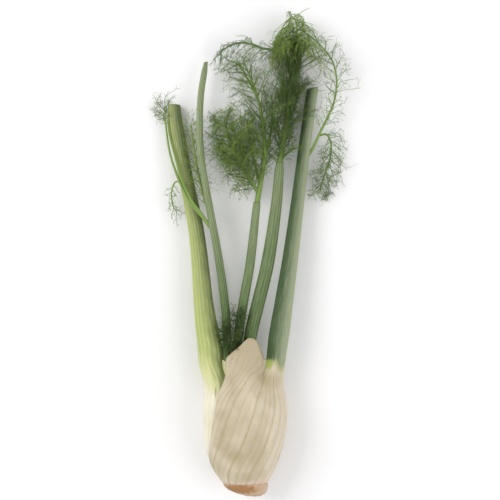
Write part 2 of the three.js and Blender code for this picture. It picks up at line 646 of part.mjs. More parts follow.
// The threads of a shoot: how many nodes, how far they lean out and how long they are
const NODE_SPACING = 10;
const NODES = { fewest: 2, most: 5, first: 0.3, last: 0.88 };
const THREAD = { lean: 30, unevenLean: 6, moreLean: 5, share: 0.36, shortest: 8, longest: 16, uneven: 0.25 };
const ATTEMPTS = 7;
const SHOOT_STEPS = 12; // lengths in which a shoot's line is tested, the first one sunk in the stem
const stemsOf = (name) => `${name}-stems`;
function frond(name, stems) {
  const solids = [];
  const planned = [];
  stems.forEach((spec) => {
    const curve = stemCurve(spec);
    solids.push(stem(curve, spec));
    planned.push(...Array.from({ length: spec.shoots }, (_, i) => ({ curve, spec, i })));
  });
  const grown = planned.flatMap(({ curve, spec, i }, index) => {
    for (let attempt = 0; attempt < ATTEMPTS; attempt++) {
      const line = smoothCurve(shootPoints(curve, spec, i, attempt));
      const points = line.getSpacedPoints(SHOOT_STEPS);
      if (!isClear(points.slice(1), SHOOT_RADIUS, name, stemsOf(name))) continue;
      const id = `${name}-${index}`;
      lay(points.filter((_, k) => k % 2 === 0), () => SHOOT_RADIUS, name, id);
      return [{ line, id, index }];
    }
    return [];
  });
  for (const { line, id, index } of grown) {
    const reach = line.getLength();
    const count = min(max(Math.round(reach / NODE_SPACING), NODES.fewest), NODES.most);
    const nodes = Array.from({ length: count }, (_, k) => mix(NODES.first, NODES.last, k / (count - 1)));
    const usual = min(max(reach * THREAD.share, THREAD.shortest), THREAD.longest);
    const threadTip = (face, tangent, k) => {
      const root = new THREE.Vector3();
      face.forEach((p) => root.addScaledVector(p, 0.25));
      const normal = new THREE.Vector3().subVectors(face[1], face[0]);
      normal.cross(new THREE.Vector3().subVectors(face[3], face[0])).normalize();
      for (let attempt = 0; attempt < ATTEMPTS; attempt++) {
        const lean = THREAD.lean + THREAD.unevenLean * vary(k, index) + THREAD.moreLean * attempt;
        const angle = lean * RADIANS;
        const length = usual * (1 + THREAD.uneven * vary(index, k)) * (1 - SHORTER * attempt);
        const way = tangent.clone().multiplyScalar(cos(angle)).addScaledVector(normal, sin(angle));
        const tip = offTheSurface(root.clone().addScaledVector(way, length));
        const start = root.clone().addScaledVector(way, ROOT_POINT);
        if (tip.z < root.z && tip.z <= LOWEST_THREAD && root.z < 2) continue;
        if (!isClear([start, tip], THREAD_RADIUS, name, id)) continue;
        laid.push({ a: start, b: tip, radius: THREAD_RADIUS, owner: name, name: id });
        return tip;
      }
      return null;
    };
    solids.push(shoot(line, nodes, threadTip));
  }
  const fused = wasm.Manifold.union(solids).decompose();
  return fromSolid(fused.sort((p, q) => q.volume() - p.volume())[0]);
}

const COLOURS = {
  base: { color: 0xd3c7a4, roughness: 0.45 },
  stalk: { color: 0xa3b86c, roughness: 0.5 },
  root: { color: 0xb98a5e, roughness: 0.8 },
  frond: { color: 0x4f7a2f, roughness: 0.6 },
};

const fennel = new THREE.Group();
function add(name, geometry, colour) {
  geometry.computeVertexNormals();
  const mesh = new THREE.Mesh(geometry, new THREE.MeshStandardMaterial({ ...COLOURS[colour], metalness: 0 }));
  mesh.name = name;
  fennel.add(mesh);
}

add("root_plate", rootPlate(), "root");
add("leaf_outer_right", sheathLeaf(outerRight), "base");
add("leaf_outer_left", sheathLeaf(outerLeft), "base");
add("leaf_inner_right", innerLeaf(innerRight), "stalk");
add("leaf_inner_left", innerLeaf(innerLeft), "stalk");
add("leaf_heart", innerLeaf(heart), "stalk");

// The stalks, the sheath's front flap and the stems are laid first, so that the shoots keep clear of them.
const FLAP = { from: 0.76, step: 0.04, low: 36, middle: 50, radius: 2 };
const stalks = {
  leaf_outer_right: outerRight.stalk,
  leaf_outer_left: outerLeft.stalk,
  leaf_inner_right: innerRight,
  leaf_inner_left: innerLeft,
  leaf_heart: heart,
};
for (const [name, { x, z, halfWidth, stations }] of Object.entries(stalks)) {
  stations.forEach((y, i) => {
    if (y < STALKS_START || i === stations.length - 1) return;
    const line = [y, stations[i + 1]].map((along) => new THREE.Vector3(x(along), along, z(along)));
    lay(line, () => halfWidth(y), name, name);
  });
}
for (let u = FLAP.from; u <= 1; u += FLAP.step) {
  const points = [FLAP.low, FLAP.middle, outerRight.topEdge(u)].map((y) => {
    const angle = mix(outerRight.backEdge(y), outerRight.frontEdge(y), u);
    return skin(outerRight.side, angle, y, MARGIN);
  });
  lay(points, () => FLAP.radius, "leaf_outer_right", "flap");
}
for (const [name, stems] of Object.entries(fronds)) {
  stems.forEach((spec) => {
    const points = stemCurve(spec).getSpacedPoints(2 * spec.path.length);
    lay(points, (t) => mix(spec.from, spec.to, t), name, stemsOf(name));
  });
}
for (const [name, stems] of Object.entries(fronds)) add(name, frond(name, stems), "frond");

export default fennel;
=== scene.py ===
# %% [markdown]
# # A fennel bulb with its stalks and fronds
#
# A fennel is a bunch of leaves on a very short stem. The base of each leaf is swollen and wraps
# the next one, which makes the bulb; above it each leaf is a ribbed stalk, and then a frond of
# green threads. The rigid solids of every leaf are loaded first. They fix the size and the place
# of everything, and the finer pieces made below take their place one for one.

import bpy
import numpy as np
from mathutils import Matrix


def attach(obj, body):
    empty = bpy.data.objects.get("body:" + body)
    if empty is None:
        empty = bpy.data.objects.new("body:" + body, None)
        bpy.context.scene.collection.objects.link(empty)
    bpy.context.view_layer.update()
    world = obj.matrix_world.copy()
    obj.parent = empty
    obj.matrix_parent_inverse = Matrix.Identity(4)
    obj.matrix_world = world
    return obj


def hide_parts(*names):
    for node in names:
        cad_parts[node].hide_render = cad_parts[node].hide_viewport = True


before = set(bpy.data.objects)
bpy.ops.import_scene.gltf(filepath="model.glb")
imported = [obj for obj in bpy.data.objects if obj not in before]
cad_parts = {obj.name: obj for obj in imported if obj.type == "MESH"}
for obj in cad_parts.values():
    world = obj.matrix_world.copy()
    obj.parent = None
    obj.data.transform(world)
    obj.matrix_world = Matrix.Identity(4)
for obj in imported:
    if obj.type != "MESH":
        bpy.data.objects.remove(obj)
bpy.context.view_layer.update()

# %% [markdown]
# ## Helpers for shapes
#
# Every outline here is a smooth curve through a few given pairs, as a draughtsperson draws
# through a few measured points. Lengths are in millimetres and are turned to metres only when a
# mesh is made. The camera looks straight down, +Y runs from the root to the tips, +X to the right.

# %% Curves, steps and an uneven rule
DEGREES = np.pi / 180


def through(pairs):
    """A smooth curve through (position, value) pairs, level beyond its ends."""
    at, value = np.array(pairs, float).T
    slope = np.empty_like(value)
    slope[1:-1] = (value[2:] - value[:-2]) / (at[2:] - at[:-2])
    slope[0] = (value[1] - value[0]) / (at[1] - at[0])
    slope[-1] = (value[-1] - value[-2]) / (at[-1] - at[-2])

    def curve(position):
        position = np.clip(position, at[0], at[-1])
        i = np.clip(np.searchsorted(at, position, side="right") - 1, 0, len(at) - 2)
        step = at[i + 1] - at[i]
        t = (position - at[i]) / step
        return (
            value[i] * (1 + 2 * t) * (1 - t) ** 2
            + slope[i] * step * t * (1 - t) ** 2
            + value[i + 1] * t * t * (3 - 2 * t)
            + slope[i + 1] * step * t * t * (t - 1)
        )

    return curve


def smoothstep(low, high, x):
    t = np.clip((x - low) / (high - low), 0, 1)
    return t * t * (3 - 2 * t)


def mix(a, b, t):
    return a + (b - a) * t


def vary(i, k):
    """An uneven rule from -1 to 1, the same each run."""
    return np.sin(12.9898 * i + 78.233 * k)


def unevenness(x, y, z=0.0):
    """Gentle lumps from -1 to 1 over a surface, three to four units from crest to crest."""
    return (
        np.sin(x * 1.7 + 1.3 * np.sin(y * 0.9 + z))
        + np.sin(y * 2.1 + 1.1 * np.sin(z * 1.3 - x * 0.8))
        + np.sin(z * 1.9 + 1.2 * np.sin(x * 1.1 + y * 0.7))
    ) / 3


def from_middle(x, y, middle, size):
    """How far a place is from the middle of an oval: 1 on its edge."""
    return np.hypot((x - middle[0]) / size[0], (y - middle[1]) / size[1])


# %% [markdown]
# A mesh is made from numpy arrays of points and faces. Values that belong to the plant and not
# to a texture, such as how near a place is to a vein, or how green it is, are stored on the
# points, where the materials read them. That keeps veins and ribs exactly together.


# %% Make a piece from points and faces
def make_piece(name, points, faces, material, node, values):
    """points are in millimetres; values is {attribute: one number or one vector per point}."""
    mesh = bpy.data.meshes.new(name)
    mesh.from_pydata((points / 1000).tolist(), [], faces)
    mesh.polygons.foreach_set("use_smooth", np.ones(len(mesh.polygons), bool))
    for key, numbers in values.items():
        numbers = np.asarray(numbers, np.float32)
        kind, field = ("FLOAT", "value") if numbers.ndim == 1 else ("FLOAT_VECTOR", "vector")
        mesh.attributes.new(key, kind, "POINT").data.foreach_set(field, numbers.ravel())
    mesh.materials.append(material)
    piece = bpy.data.objects.new(name, mesh)
    bpy.context.scene.collection.objects.link(piece)
    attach(piece, "root")
    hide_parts(node)
    triangles = sum(len(face) - 2 for face in faces)
    print(f"{name}: {triangles} triangles, {np.ptp(points, axis=0).round(1)} mm")
    return piece


def grid_faces(numbers):
    """Four-sided faces between the neighbouring point numbers of a grid."""
    a, b = numbers[:-1, :-1], numbers[:-1, 1:]
    c, d = numbers[1:, 1:], numbers[1:, :-1]
    return np.stack([a, b, c, d], axis=-1).reshape(-1, 4).tolist()


# %% [markdown]
# ## Helpers for materials
#
# Colours are written as sRGB hex, as read off a swatch, and turned to the linear values that the
# renderer works with. One function adds a node, sets it and fills or links its inputs, and a few
# short ones do that for the kinds of node that are used often.


# %% Colour and node helpers
def linear(hex_colour):
    parts = [int(hex_colour[i : i + 2], 16) / 255 for i in (1, 3, 5)]
    return (*[p / 12.92 if p <= 0.04045 else ((p + 0.055) / 1.055) ** 2.4 for p in parts], 1)


def fill(tree, node, inputs):
    """Links an input where its value is a socket, and sets it where it is a number or a colour."""
    for key, value in inputs.items():
        if isinstance(value, bpy.types.NodeSocket):
            tree.links.new(value, node.inputs[key])
        else:
            node.inputs[key].default_value = value
    return node


def add_node(tree, kind, inputs, **settings):
    node = tree.nodes.new(kind)
    for key, value in settings.items():
        setattr(node, key, value)
    return fill(tree, node, inputs)


# Mix nodes in colour mode number their sockets: factor 0, first 6, second 7 and result 2.
FACTOR, FIRST, SECOND, RESULT = 0, 6, 7, 2


def mixed(tree, share, first, second):
    """The first colour where share is 0, the second where it is 1; each is a socket or a hex."""
    first, second = (linear(colour) if isinstance(colour, str) else colour for colour in (first, second))
    inputs = {FACTOR: share, FIRST: first, SECOND: second}
    return add_node(tree, "ShaderNodeMix", inputs, data_type="RGBA").outputs[RESULT]


def ranged(tree, value, low, high, **settings):
    """0 where the value is low, 1 where it is high."""
    inputs = {"Value": value, "From Min": low, "From Max": high}
    return add_node(tree, "ShaderNodeMapRange", inputs, **settings).outputs["Result"]


def worked_out(tree, operation, *numbers, **settings):
    """One step of arithmetic on sockets and numbers."""
    inputs = dict(enumerate(numbers))
    return add_node(tree, "ShaderNodeMath", inputs, operation=operation, **settings).outputs[0]


def noise(tree, scale, detail, **inputs):
    return add_node(
        tree, "ShaderNodeTexNoise", {"Scale": scale, "Detail": detail, **inputs}
    ).outputs["Fac"]


def bumps(tree, height, strength, distance):
    inputs = {"Height": height, "Strength": strength, "Distance": distance}
    return add_node(tree, "ShaderNodeBump", inputs).outputs["Normal"]


def stored(tree, key, output="Fac"):
    """A value that is stored on the points."""
    return add_node(tree, "ShaderNodeAttribute", {}, attribute_name=key).outputs[output]


def places(tree):
    return add_node(tree, "ShaderNodeTexCoord", {}).outputs["Object"]


def blank_material(name):
    """A material with only its principled shader and its tree, ready for nodes."""
    material = bpy.data.materials.new(name)
    material.use_nodes = True
    print("material:", name)
    return material.node_tree, material.node_tree.nodes["Principled BSDF"], material


# %% [markdown]
# ## Skin of the leaf bases
#
# The bulb is living tissue full of water under a thin waxy skin: ivory, glossy in a soft way,
# and a little translucent, so the light goes in and softens the shadows between the ribs. Thin
# olive veins run in the grooves, and tan patches show where it was rubbed or has dried. Towards
# the stalk the same skin turns green in streaks. Plant tissue has the refraction of water in a
# cell wall, about 1.42.


# %% Leaf skin
PINKISH = "#dcc6b2"  # the skin next to the root
SCAR_BROWN = "#857a48"  # where it was rubbed
LEAF_IOR = 1.42


def leaf_skin(name, ivory, tan, vein, greens, mark=SCAR_BROWN):
    """greens: where the green starts, the stalk's lit and shaded green, which paint light and shade across
    it, and its grooves.
    """
    tree, shader, material = blank_material(name)
    groove, green, green_depth_and_shade, shade, cut, blush, marked = (
        stored(tree, key) for key in ("groove", "green", "green_depth_and_shade", "shade", "cut", "blush", "marked")
    )
    flow = stored(tree, "flow", "Vector")
    place = places(tree)

    # Patches about 30 mm across: the scale counts them to the metre
    patches = noise(tree, 34.0, 2.0, Vector=place)
    patchy = ranged(tree, patches, 0.42, 0.72)
    # Fibres run lengthwise: flow counts ribs across and 45 mm steps along, so the streaks are long
    fibres = noise(tree, 2.6, 3.0, Vector=flow, Roughness=0.55)
    fibre = ranged(tree, fibres, 0.35, 0.7)

    # Over the patchy ivory lie, one after another, the tan places, among them a band of painted shade
    # along the flap's curled edge, faint streaks along the fibres, the pinkish skin next to the root,
    # and the lines in the grooves
    veined = mixed(tree, patchy, ivory, tan)
    streak = worked_out(tree, "MULTIPLY", fibre, 0.16)
    for share, over in ((shade, tan), (streak, vein), (blush, PINKISH), (groove, vein)):
        veined = mixed(tree, share, veined, over)

    # The stalk's colour runs from its lit green to its shaded green by a stored share. That share holds a
    # green that changes along the stalk, and also painted shade: on the side towards the heart, and where
    # stalks pass between others
    starting, lit, shaded, dark = greens
    depth_of_green = worked_out(tree, "MULTIPLY_ADD", fibres, 0.8, -0.4)
    depth_and_painted_shade = worked_out(tree, "ADD", green_depth_and_shade, depth_of_green, use_clamp=True)
    stalk = mixed(tree, depth_and_painted_shade, lit, shaded)
    grooved = mixed(tree, groove, stalk, dark)
    # The green runs down into the ivory in streaks, so the fibres shift where it starts
    shift = worked_out(tree, "MULTIPLY_ADD", fibres, 0.7, -0.35)
    ragged = worked_out(tree, "ADD", green, shift)
    first_green, full_green = (
        ranged(tree, ragged, low, high, interpolation_type="SMOOTHSTEP")
        for low, high in ((0.05, 0.5), (0.4, 0.95))
    )
    greening = mixed(tree, first_green, veined, starting)
    skin_colour = mixed(tree, full_green, greening, grooved)
    with_mark = mixed(tree, marked, skin_colour, mark)

    # A cut end shows wet pale pith with darker bundles of fibre about 1.2 mm apart
    bundles = add_node(tree, "ShaderNodeTexVoronoi", {"Vector": place, "Scale": 800.0})
    dot = ranged(tree, bundles.outputs["Distance"], 0.18, 0.4)
    pith = mixed(tree, dot, "#a9b87a", "#dfe3c0")
    colour = mixed(tree, cut, with_mark, pith)

    wax = add_node(tree, "ShaderNodeMapRange", {"Value": patches, "To Min": 0.34, "To Max": 0.5})
    fill(tree, shader, {
        "Base Color": colour,
        # Fine lengthwise fibres lift the skin by a few hundredths of a millimetre
        "Normal": bumps(tree, fibres, 0.35, 0.0004),
        "Roughness": wax.outputs["Result"],
        "IOR": LEAF_IOR,
        "Subsurface Weight": 0.18,
        "Subsurface Radius": (1.0, 0.9, 0.45),
        "Subsurface Scale": 0.003,
    })
    return material


# The right leaf's mark is the young yellow-green in the notch beside its stalk, and the left
# leaf's a rubbed scar. The inner leaves have none.
# The right stalk's lit green is a pale grey-green, partly a painted sheen on its lighter side
outer_right_skin = leaf_skin(
    "waxy_leaf_skin_right", ivory="#d8cab3", tan="#b8a88b", vein="#a39c6a",
    greens=("#b3b480", "#a3ac8a", "#3c5526", "#2d451e"), mark="#9dae4a",
)
outer_left_skin = leaf_skin(
    "waxy_leaf_skin_left", ivory="#efe9d4", tan="#e2dab8", vein="#bcba8a",
    greens=("#d6d69c", "#b6bf74", "#616d44", "#5a6a3e"),
)
inner_skin = leaf_skin(
    "waxy_leaf_skin_inner", ivory="#dfe0bb", tan="#c9cb98", vein="#93a160",
    greens=("#aebb6c", "#a4ad86", "#536b36", "#3c5428"),
)

# %% [markdown]
# ## Cut root plate
#
# The short stem under the leaves is dense, dry tissue. It was trimmed with a knife and has gone
# brown in the air, as a cut apple does: orange-brown in the middle of the cut, pinkish tan round
# it, and rough, with no gloss.

# %% Root material
tree, shader, root_cut = blank_material("browned_root_tissue")
browned = stored(tree, "browned")
# Torn fibres and soil-brown specks, 2 to 4 mm apart
specks = noise(tree, 330.0, 5.0, Vector=places(tree), Roughness=0.65)
ragged = worked_out(tree, "MULTIPLY_ADD", specks, 0.9, -0.45)
edge = worked_out(tree, "ADD", browned, ragged)
brownness = ranged(tree, edge, 0.55, 0.85)
drying = ranged(tree, edge, 0.0, 0.65)
rim = mixed(tree, drying, "#cdb69e", "#bf9c79")
heartwood = mixed(tree, specks, "#b3875a", "#91693f")
fill(tree, shader, {
    "Base Color": mixed(tree, brownness, rim, heartwood),
    "Normal": bumps(tree, specks, 0.7, 0.0008),
    "Roughness": 0.75,
})

# %% [markdown]
# ## Frond green
#
# The threads are leaf blades no wider than a pine needle, with a thin bloom of wax. `tone` runs
# from the dark green of a dense frond, partly a painted shade within it, to the bright green of
# young growth at its tips, and `stem` marks the stems, which are smoother and yellower than the threads.

# %% Frond material
tree, shader, frond_green = blank_material("feathery_leaf_green")
tone, stem_part = (stored(tree, key) for key in ("tone", "stem"))
# Whole tufts differ a little from their neighbours, over about 12 mm
tufts = noise(tree, 80.0, 2.0, Vector=places(tree))
tufted = worked_out(tree, "MULTIPLY_ADD", tufts, 0.4, -0.2)
toned = worked_out(tree, "ADD", tone, tufted)
ramp = add_node(tree, "ShaderNodeValToRGB", {"Fac": toned})
ramp.color_ramp.elements[0].color = linear("#33421e")
ramp.color_ramp.elements[1].color = linear("#abbf50")
for position, swatch in ((0.3, "#4e662e"), (0.6, "#738f3f")):
    ramp.color_ramp.elements.new(position).color = linear(swatch)
fill(tree, shader, {
    "Base Color": mixed(tree, stem_part, ramp.outputs["Color"], "#7f9a4a"),
    "Roughness": 0.5,
    "IOR": LEAF_IOR,
    "Subsurface Weight": 0.0,
})

# %% [markdown]
# ## Outline of the bulb
#
# The bulb is a flattened egg: its width and its depth are curves along Y, and any place on its
# skin is given by an angle round it. Both outer leaves are drawn on that one skin, at a depth
# below it, so they wrap each other without touching.

# %% The bulb's own shape
BULB_BOTTOM = -68.0  # where the leaf bases meet the root plate
AXIS_HEIGHT = 30.2  # the bulb's own axis above the surface that it rests on
LAYER_GAP = 1.0  # between one leaf and the next
MARGIN = 1.0  # thickness of a leaf base near its free edge
RIB = 0.55  # height of a rib's crest above the skin's mean level

half_width = through([
    (-70, 21.5), (-58, 29.2), (-45, 34.8), (-31, 38.9), (-16, 41),
    (0, 41.8), (16, 41), (32, 39.6), (48, 38.6), (80, 38),
])
half_depth = through([
    (-70, 15), (-58, 22), (-45, 27), (-31, 29.6), (-16, 30.8),
    (0, 31), (16, 29.8), (32, 26.5), (48, 21.5), (60, 17.5), (80, 14),
])
middle = through([(-70, 0), (-50, -1.2), (-31, -1.2), (0, 0.2), (32, -0.8), (80, -1)])


def bulb_skin(side, angle, y, inset):
    """Points of the skin; side is 1 or -1, angle is in degrees from the middle of that side."""
    x = middle(y) + side * (half_width(y) - inset) * np.cos(angle * DEGREES)
    z = AXIS_HEIGHT + (half_depth(y) - inset) * np.sin(angle * DEGREES)
    return np.stack([x, y, np.maximum(z, 0)], axis=-1)


FULL_WALL = 30  # degrees from its free edge to where a leaf base has its full thickness


def thickening(degrees):
    return np.clip(degrees / FULL_WALL, 0, 1)


# %% [markdown]
# ## A leaf that wraps the bulb
#
# Each outer leaf is one continuous surface from the root to the cut end of its stalk. It is a
# grid: its columns are the ribs, which start round the whole base and gather into the stalk, and
# the columns beyond the stalk end in the free edge of the sheath. A subdivided cage couldn't hold
# the narrow grooves, so the grid is made fine enough to carry them itself, about ten columns to a
# rib. A rib has a rounded crest and a narrow groove, and few grooves are equally deep.
#
# A leaf is described by curves of its own: `gather` gives the heights between which the columns
# draw together into the stalk, `veins` and `strength` where its grooves run and how deep they are,
# `green` and `shade` its colours, a share from the stalk's lit to its shaded green, which is partly
# painted shade, and `fleck` and `mark` two small spots on it.

# %% Ribs
COLUMNS_PER_RIB = 10
SHEATH_ROWS = 110
STALK_ROWS = 100


def groove_depth(ribs_across, strength):
    """1 at the bottom of a full groove, which lies at each whole number, and 0 on the crests."""
    nearest = np.round(ribs_across)
    off = 2 * np.abs(ribs_across - nearest)
    return strength(nearest) * (1 - off) ** 1.6


# %% A leaf: sheath and stalk in one surface
STREAK = 45  # length of one step of `flow` along the fibres
CHANNEL = 150  # where the channel on the stalk's inner side starts, in degrees from its middle
SWELLING = 0.35  # height of the gentle swellings on a leaf base
SWELLING_WIDTH, SWELLING_LENGTH = 3.1, 19  # the unit for them, in ribs and in millimetres
TUCK, TUCK_HEIGHT = 0.5, 3  # how far the skin draws in where it meets the root, and over what height
FLECK_SIZE = (2.2, 3.2)
NOWHERE = (-99, 0)
SUNKEN = 0.5  # how deep the middle of a cut end lies
SHOULDER = 0.16  # how far beside the stalk the sheath follows it, as a share of the stalk's columns
GREEN_SIDE, FREE_SIDE = 0.04, 0.03  # the same, for the stalk's green and for the start of the free edge
EDGE_DEGREES, EDGE_HEIGHT = 4, 3  # over which a free edge thins out
PRESSED, PROUD = 2, 9  # between these heights above the surface the ribs rise to their full relief


def cut_cap(ring_numbers, ring_points, first_number, rings=7):
    """Rings that close a cut end, a little sunken in the middle. Returns points and faces."""
    centre = ring_points.mean(axis=0)
    points, faces, outer = [], [], ring_numbers
    for k in range(1, rings):
        inset = k / rings
        ring = mix(ring_points, centre, inset**0.8)
        ring[:, 1] -= SUNKEN * inset
        numbers = first_number + np.arange(len(ring)) + (k - 1) * len(ring)
        points.append(ring)
        faces += grid_faces(np.stack([np.append(outer, outer[0]), np.append(numbers, numbers[0])]))
        outer = numbers
    points.append(centre[None] - [0, SUNKEN, 0])
    last = first_number + (rings - 1) * len(ring_points)
    faces += [(a, b, last) for a, b in zip(outer.tolist(), np.append(outer[1:], outer[0]).tolist())]
    return np.concatenate(points), faces


def facing_out(points, faces):
    """The faces, all turned over if the closed surface has its inside out."""
    first_half = np.array([face[:3] for face in faces])
    second_half = np.array([(face[0], *face[2:]) for face in faces if len(face) == 4])
    a, b, c = (points[np.concatenate([first_half, second_half])[:, k]] for k in range(3))
    volume = np.einsum("ij,ij->", a, np.cross(b, c))
    return faces if volume > 0 else [tuple(reversed(face)) for face in faces]


def wrapping_leaf(name, node, material, leaf):
    stalk, side = leaf["stalk"], leaf["side"]
    columns = leaf["ribs"] * COLUMNS_PER_RIB
    back_column, front_column = (k * COLUMNS_PER_RIB // 2 for k in leaf["keel"])
    index = np.arange(columns + 1)
    u = index / columns
    along = (index - back_column) / (front_column - back_column)

    def stalk_point(turn, y, relief, width_share):
        half = stalk["half_width"](y) * width_share + relief
        return np.stack([
            stalk["x"](y) + side * half * np.cos(turn * DEGREES),
            y,
            stalk["z"](y) + (stalk["half_depth"](y) + relief) * np.sin(turn * DEGREES),
        ], axis=-1)

    # The sheath, from the root plate up to its free edge
    top = leaf["top_edge"](u)
    y = mix(BULB_BOTTOM, top, np.linspace(0, 1, SHEATH_ROWS + 1)[:, None])
    angle = mix(leaf["back_edge"](y), leaf["front_edge"](y), u)
    ribs_across = leaf["veins"](u, y)
    beyond = np.maximum(np.maximum(along - 1, -along), 0)
    gathered = smoothstep(*leaf["gather"], y) * (1 - smoothstep(0, SHOULDER, beyond))
    from_side_edge = np.minimum(leaf["front_edge"](y) - angle, angle - leaf["back_edge"](y))
    # The stalk has a finer rib between every two of the sheath's
    groove = np.maximum(
        groove_depth(ribs_across, leaf["strength"]),
        gathered * leaf["finer"] * groove_depth(2 * ribs_across, lambda rib: 0.8),
    )
    free = smoothstep(0, FREE_SIDE, beyond)
    from_top_edge = mix(99, top - y, free)
    wall = mix(MARGIN, leaf["thickness"](y), thickening(from_side_edge))
    thinned = smoothstep(0, EDGE_DEGREES, from_side_edge) * smoothstep(0, EDGE_HEIGHT, from_top_edge)
    wall = np.where(gathered > 0.5, wall, wall * mix(0.4, 1, thinned))
    inset = leaf["under"](angle, y)
    resting = smoothstep(PRESSED, PROUD, bulb_skin(side, angle, y, 0)[..., 2])
    covered = smoothstep(0.4, MARGIN + LAYER_GAP, inset)
    lumps = SWELLING * unevenness(ribs_across / SWELLING_WIDTH, y / SWELLING_LENGTH, leaf["seed"])
    fading = thinned * leaf["ribbed"](u, y)
    relief = (RIB * (1 - 2 * groove) * fading + lumps) * resting * (1 - covered)
    tucked = TUCK * (1 - smoothstep(BULB_BOTTOM, BULB_BOTTOM + TUCK_HEIGHT, y)) ** 2
    turn = mix(-CHANNEL, CHANNEL, np.clip(along, 0, 1))
    inner_turn = mix(360 - CHANNEL, CHANNEL, np.clip(along, 0, 1))
    outer = mix(
        bulb_skin(side, angle, y, inset - relief + tucked),
        stalk_point(turn, y, relief, 1),
        gathered[..., None],
    )
    inner = mix(
        bulb_skin(side, angle, y, inset + wall + tucked),
        stalk_point(inner_turn, y, 0 * y, stalk["channel"]),
        gathered[..., None],
    )

    # The stalk, from there to its cut end
    keel = slice(back_column, front_column + 1)
    v = np.linspace(0, 1, STALK_ROWS + 1)[1:, None]
    ys = mix(top[keel], stalk["end"], v)
    stalk_groove = groove[-1, keel]
    fine = stalk["rib_height"] * (1 - 2 * stalk_groove)
    stalk_outer = stalk_point(turn[keel], ys, fine, 1)
    stalk_inner = stalk_point(inner_turn[keel], ys, 0 * ys, stalk["channel"])
    ring = np.concatenate([stalk_outer, stalk_inner[:, ::-1]], axis=1)
    ring[..., 1] += stalk["cut_slope"] * v**6 * (ring[..., 0] - stalk["x"](ring[..., 1]))

    # Number the points, then join neighbours
    sheath_size = (SHEATH_ROWS + 1) * (columns + 1)
    out = np.arange(sheath_size).reshape(SHEATH_ROWS + 1, columns + 1)
    inn = out + sheath_size
    first_ring = np.concatenate([out[-1, keel], inn[-1, keel][::-1]])
    width = len(first_ring)
    rings = 2 * sheath_size + np.arange(STALK_ROWS * width).reshape(STALK_ROWS, width)
    rings = np.vstack([first_ring, rings])
    rings = np.column_stack([rings, rings[:, 0]])
    cap_points, cap_faces = cut_cap(rings[-1, :-1], ring[-1], 2 * sheath_size + STALK_ROWS * width)
    points = np.concatenate([outer.reshape(-1, 3), inner.reshape(-1, 3), ring.reshape(-1, 3), cap_points])
    faces = (
        grid_faces(out)
        + grid_faces(inn[:, ::-1])
        + grid_faces(np.stack([inn[0], out[0]]))
        + grid_faces(np.stack([out[-1, : back_column + 1], inn[-1, : back_column + 1]]))
        + grid_faces(np.stack([out[-1, front_column:], inn[-1, front_column:]]))
        + grid_faces(np.stack([inn[:, 0], out[:, 0]], axis=1))
        + grid_faces(np.stack([out[:, -1], inn[:, -1]], axis=1))
        + grid_faces(rings)
        + cap_faces
    )

    # What the material needs to know at each point
    def spread(sheath, stalk_value, inner_value):
        """One number per point, given on the sheath, along the stalk and on the inner side."""
        sheath = np.broadcast_to(sheath, y.shape).ravel()
        ring_values = np.concatenate([
            np.broadcast_to(stalk_value, ys.shape), np.full(ys.shape, inner_value)
        ], axis=1).ravel()
        return np.concatenate([
            sheath, np.full(sheath_size, inner_value), ring_values, np.zeros(len(cap_points))
        ])

    line = groove**3
    on_stalk = gathered * (1 - smoothstep(0, GREEN_SIDE, beyond))
    # The green starts lower on some ribs than on others
    rise = 3 * vary(np.round(ribs_across), 4) + 2 * vary(np.round(2 * ribs_across), 9)
    place = np.moveaxis(outer, -1, 0)
    green_on_sheath = leaf["green"](place[0], y + rise) * np.maximum(on_stalk, leaf["green_flap"])
    green_on_stalk = leaf["green"](stalk_outer[..., 0], ys + rise[-1, keel])
    in_front = place[2] > AXIS_HEIGHT

    def spot(centre, size):
        """1 inside an oval on the side towards the camera, 0 outside it."""
        return smoothstep(1.3, 0.5, from_middle(place[0], place[1], centre, size)) * in_front

    # Painted shade: each outer stalk's green is darker on its side towards the heart
    towards_heart = -np.cos(turn * DEGREES)
    shade_across_stalk = leaf["painted_shade_across"] * towards_heart
    values = {
        "groove": spread(line * (1 - 0.6 * covered) * fading, leaf["stalk_lines"] * line[-1, keel], 0.2),
        "green": spread(
            np.maximum(green_on_sheath, 0.45 * spot(leaf["fleck"], FLECK_SIZE)), green_on_stalk,
            0.5 * leaf["green_flap"],
        ),
        "green_depth_and_shade": spread(leaf["green_depth_and_shade"](y) + shade_across_stalk, leaf["green_depth_and_shade"](ys) + shade_across_stalk[keel], 0.5),
        "shade": spread(leaf["shade"](y, u, from_side_edge, *place[:2]), 0 * ys, 0.3),
        "blush": spread(0.9 * smoothstep(-60 + rise, -67, y), 0 * ys, 0),
        "marked": spread(leaf["marked"] * spot(leaf["mark"], leaf["mark_size"]), 0 * ys, 0),
        "cut": np.concatenate([np.zeros(len(points) - len(cap_points)), np.ones(len(cap_points))]),
        "flow": np.stack([
            spread(ribs_across, ribs_across[-1, keel], 0), points[:, 1] / STREAK, spread(0, 0, 1)
        ], axis=1),
    }
    return make_piece(name, points, facing_out(points, faces), material, node, values)


# %% [markdown]
# ### The outermost leaf, on the right
#
# Its sheath goes round the right side and across the front as far as the left, where its free
# edge shows as the slanting line down the bulb. Beside the stalk the sheath ends in a notch, and
# over the heart it rises to a pointed flap. The stalk was cut short.

# %% The outermost leaf
right_front = through([
    (-68, 205), (-50, 178), (-30, 151), (0, 138), (20, 131), (39, 119), (58, 118), (80, 115),
])
right_back = through([(-68, -150), (-30, -128), (0, -118), (25, -92), (42, -66), (58, -58), (80, -56)])
right_thickness = through([(-68, 4.5), (-40, 6.2), (0, 6.4), (30, 5), (50, 3.2), (80, 2.2)])
right_top = through([
    (0, 47), (0.042, 54), (0.708, 54), (0.745, 56), (0.76, 63.5), (0.78, 74),
    (0.8, 77), (0.83, 75.5), (0.88, 69.5), (0.94, 63.5), (1, 57),
])

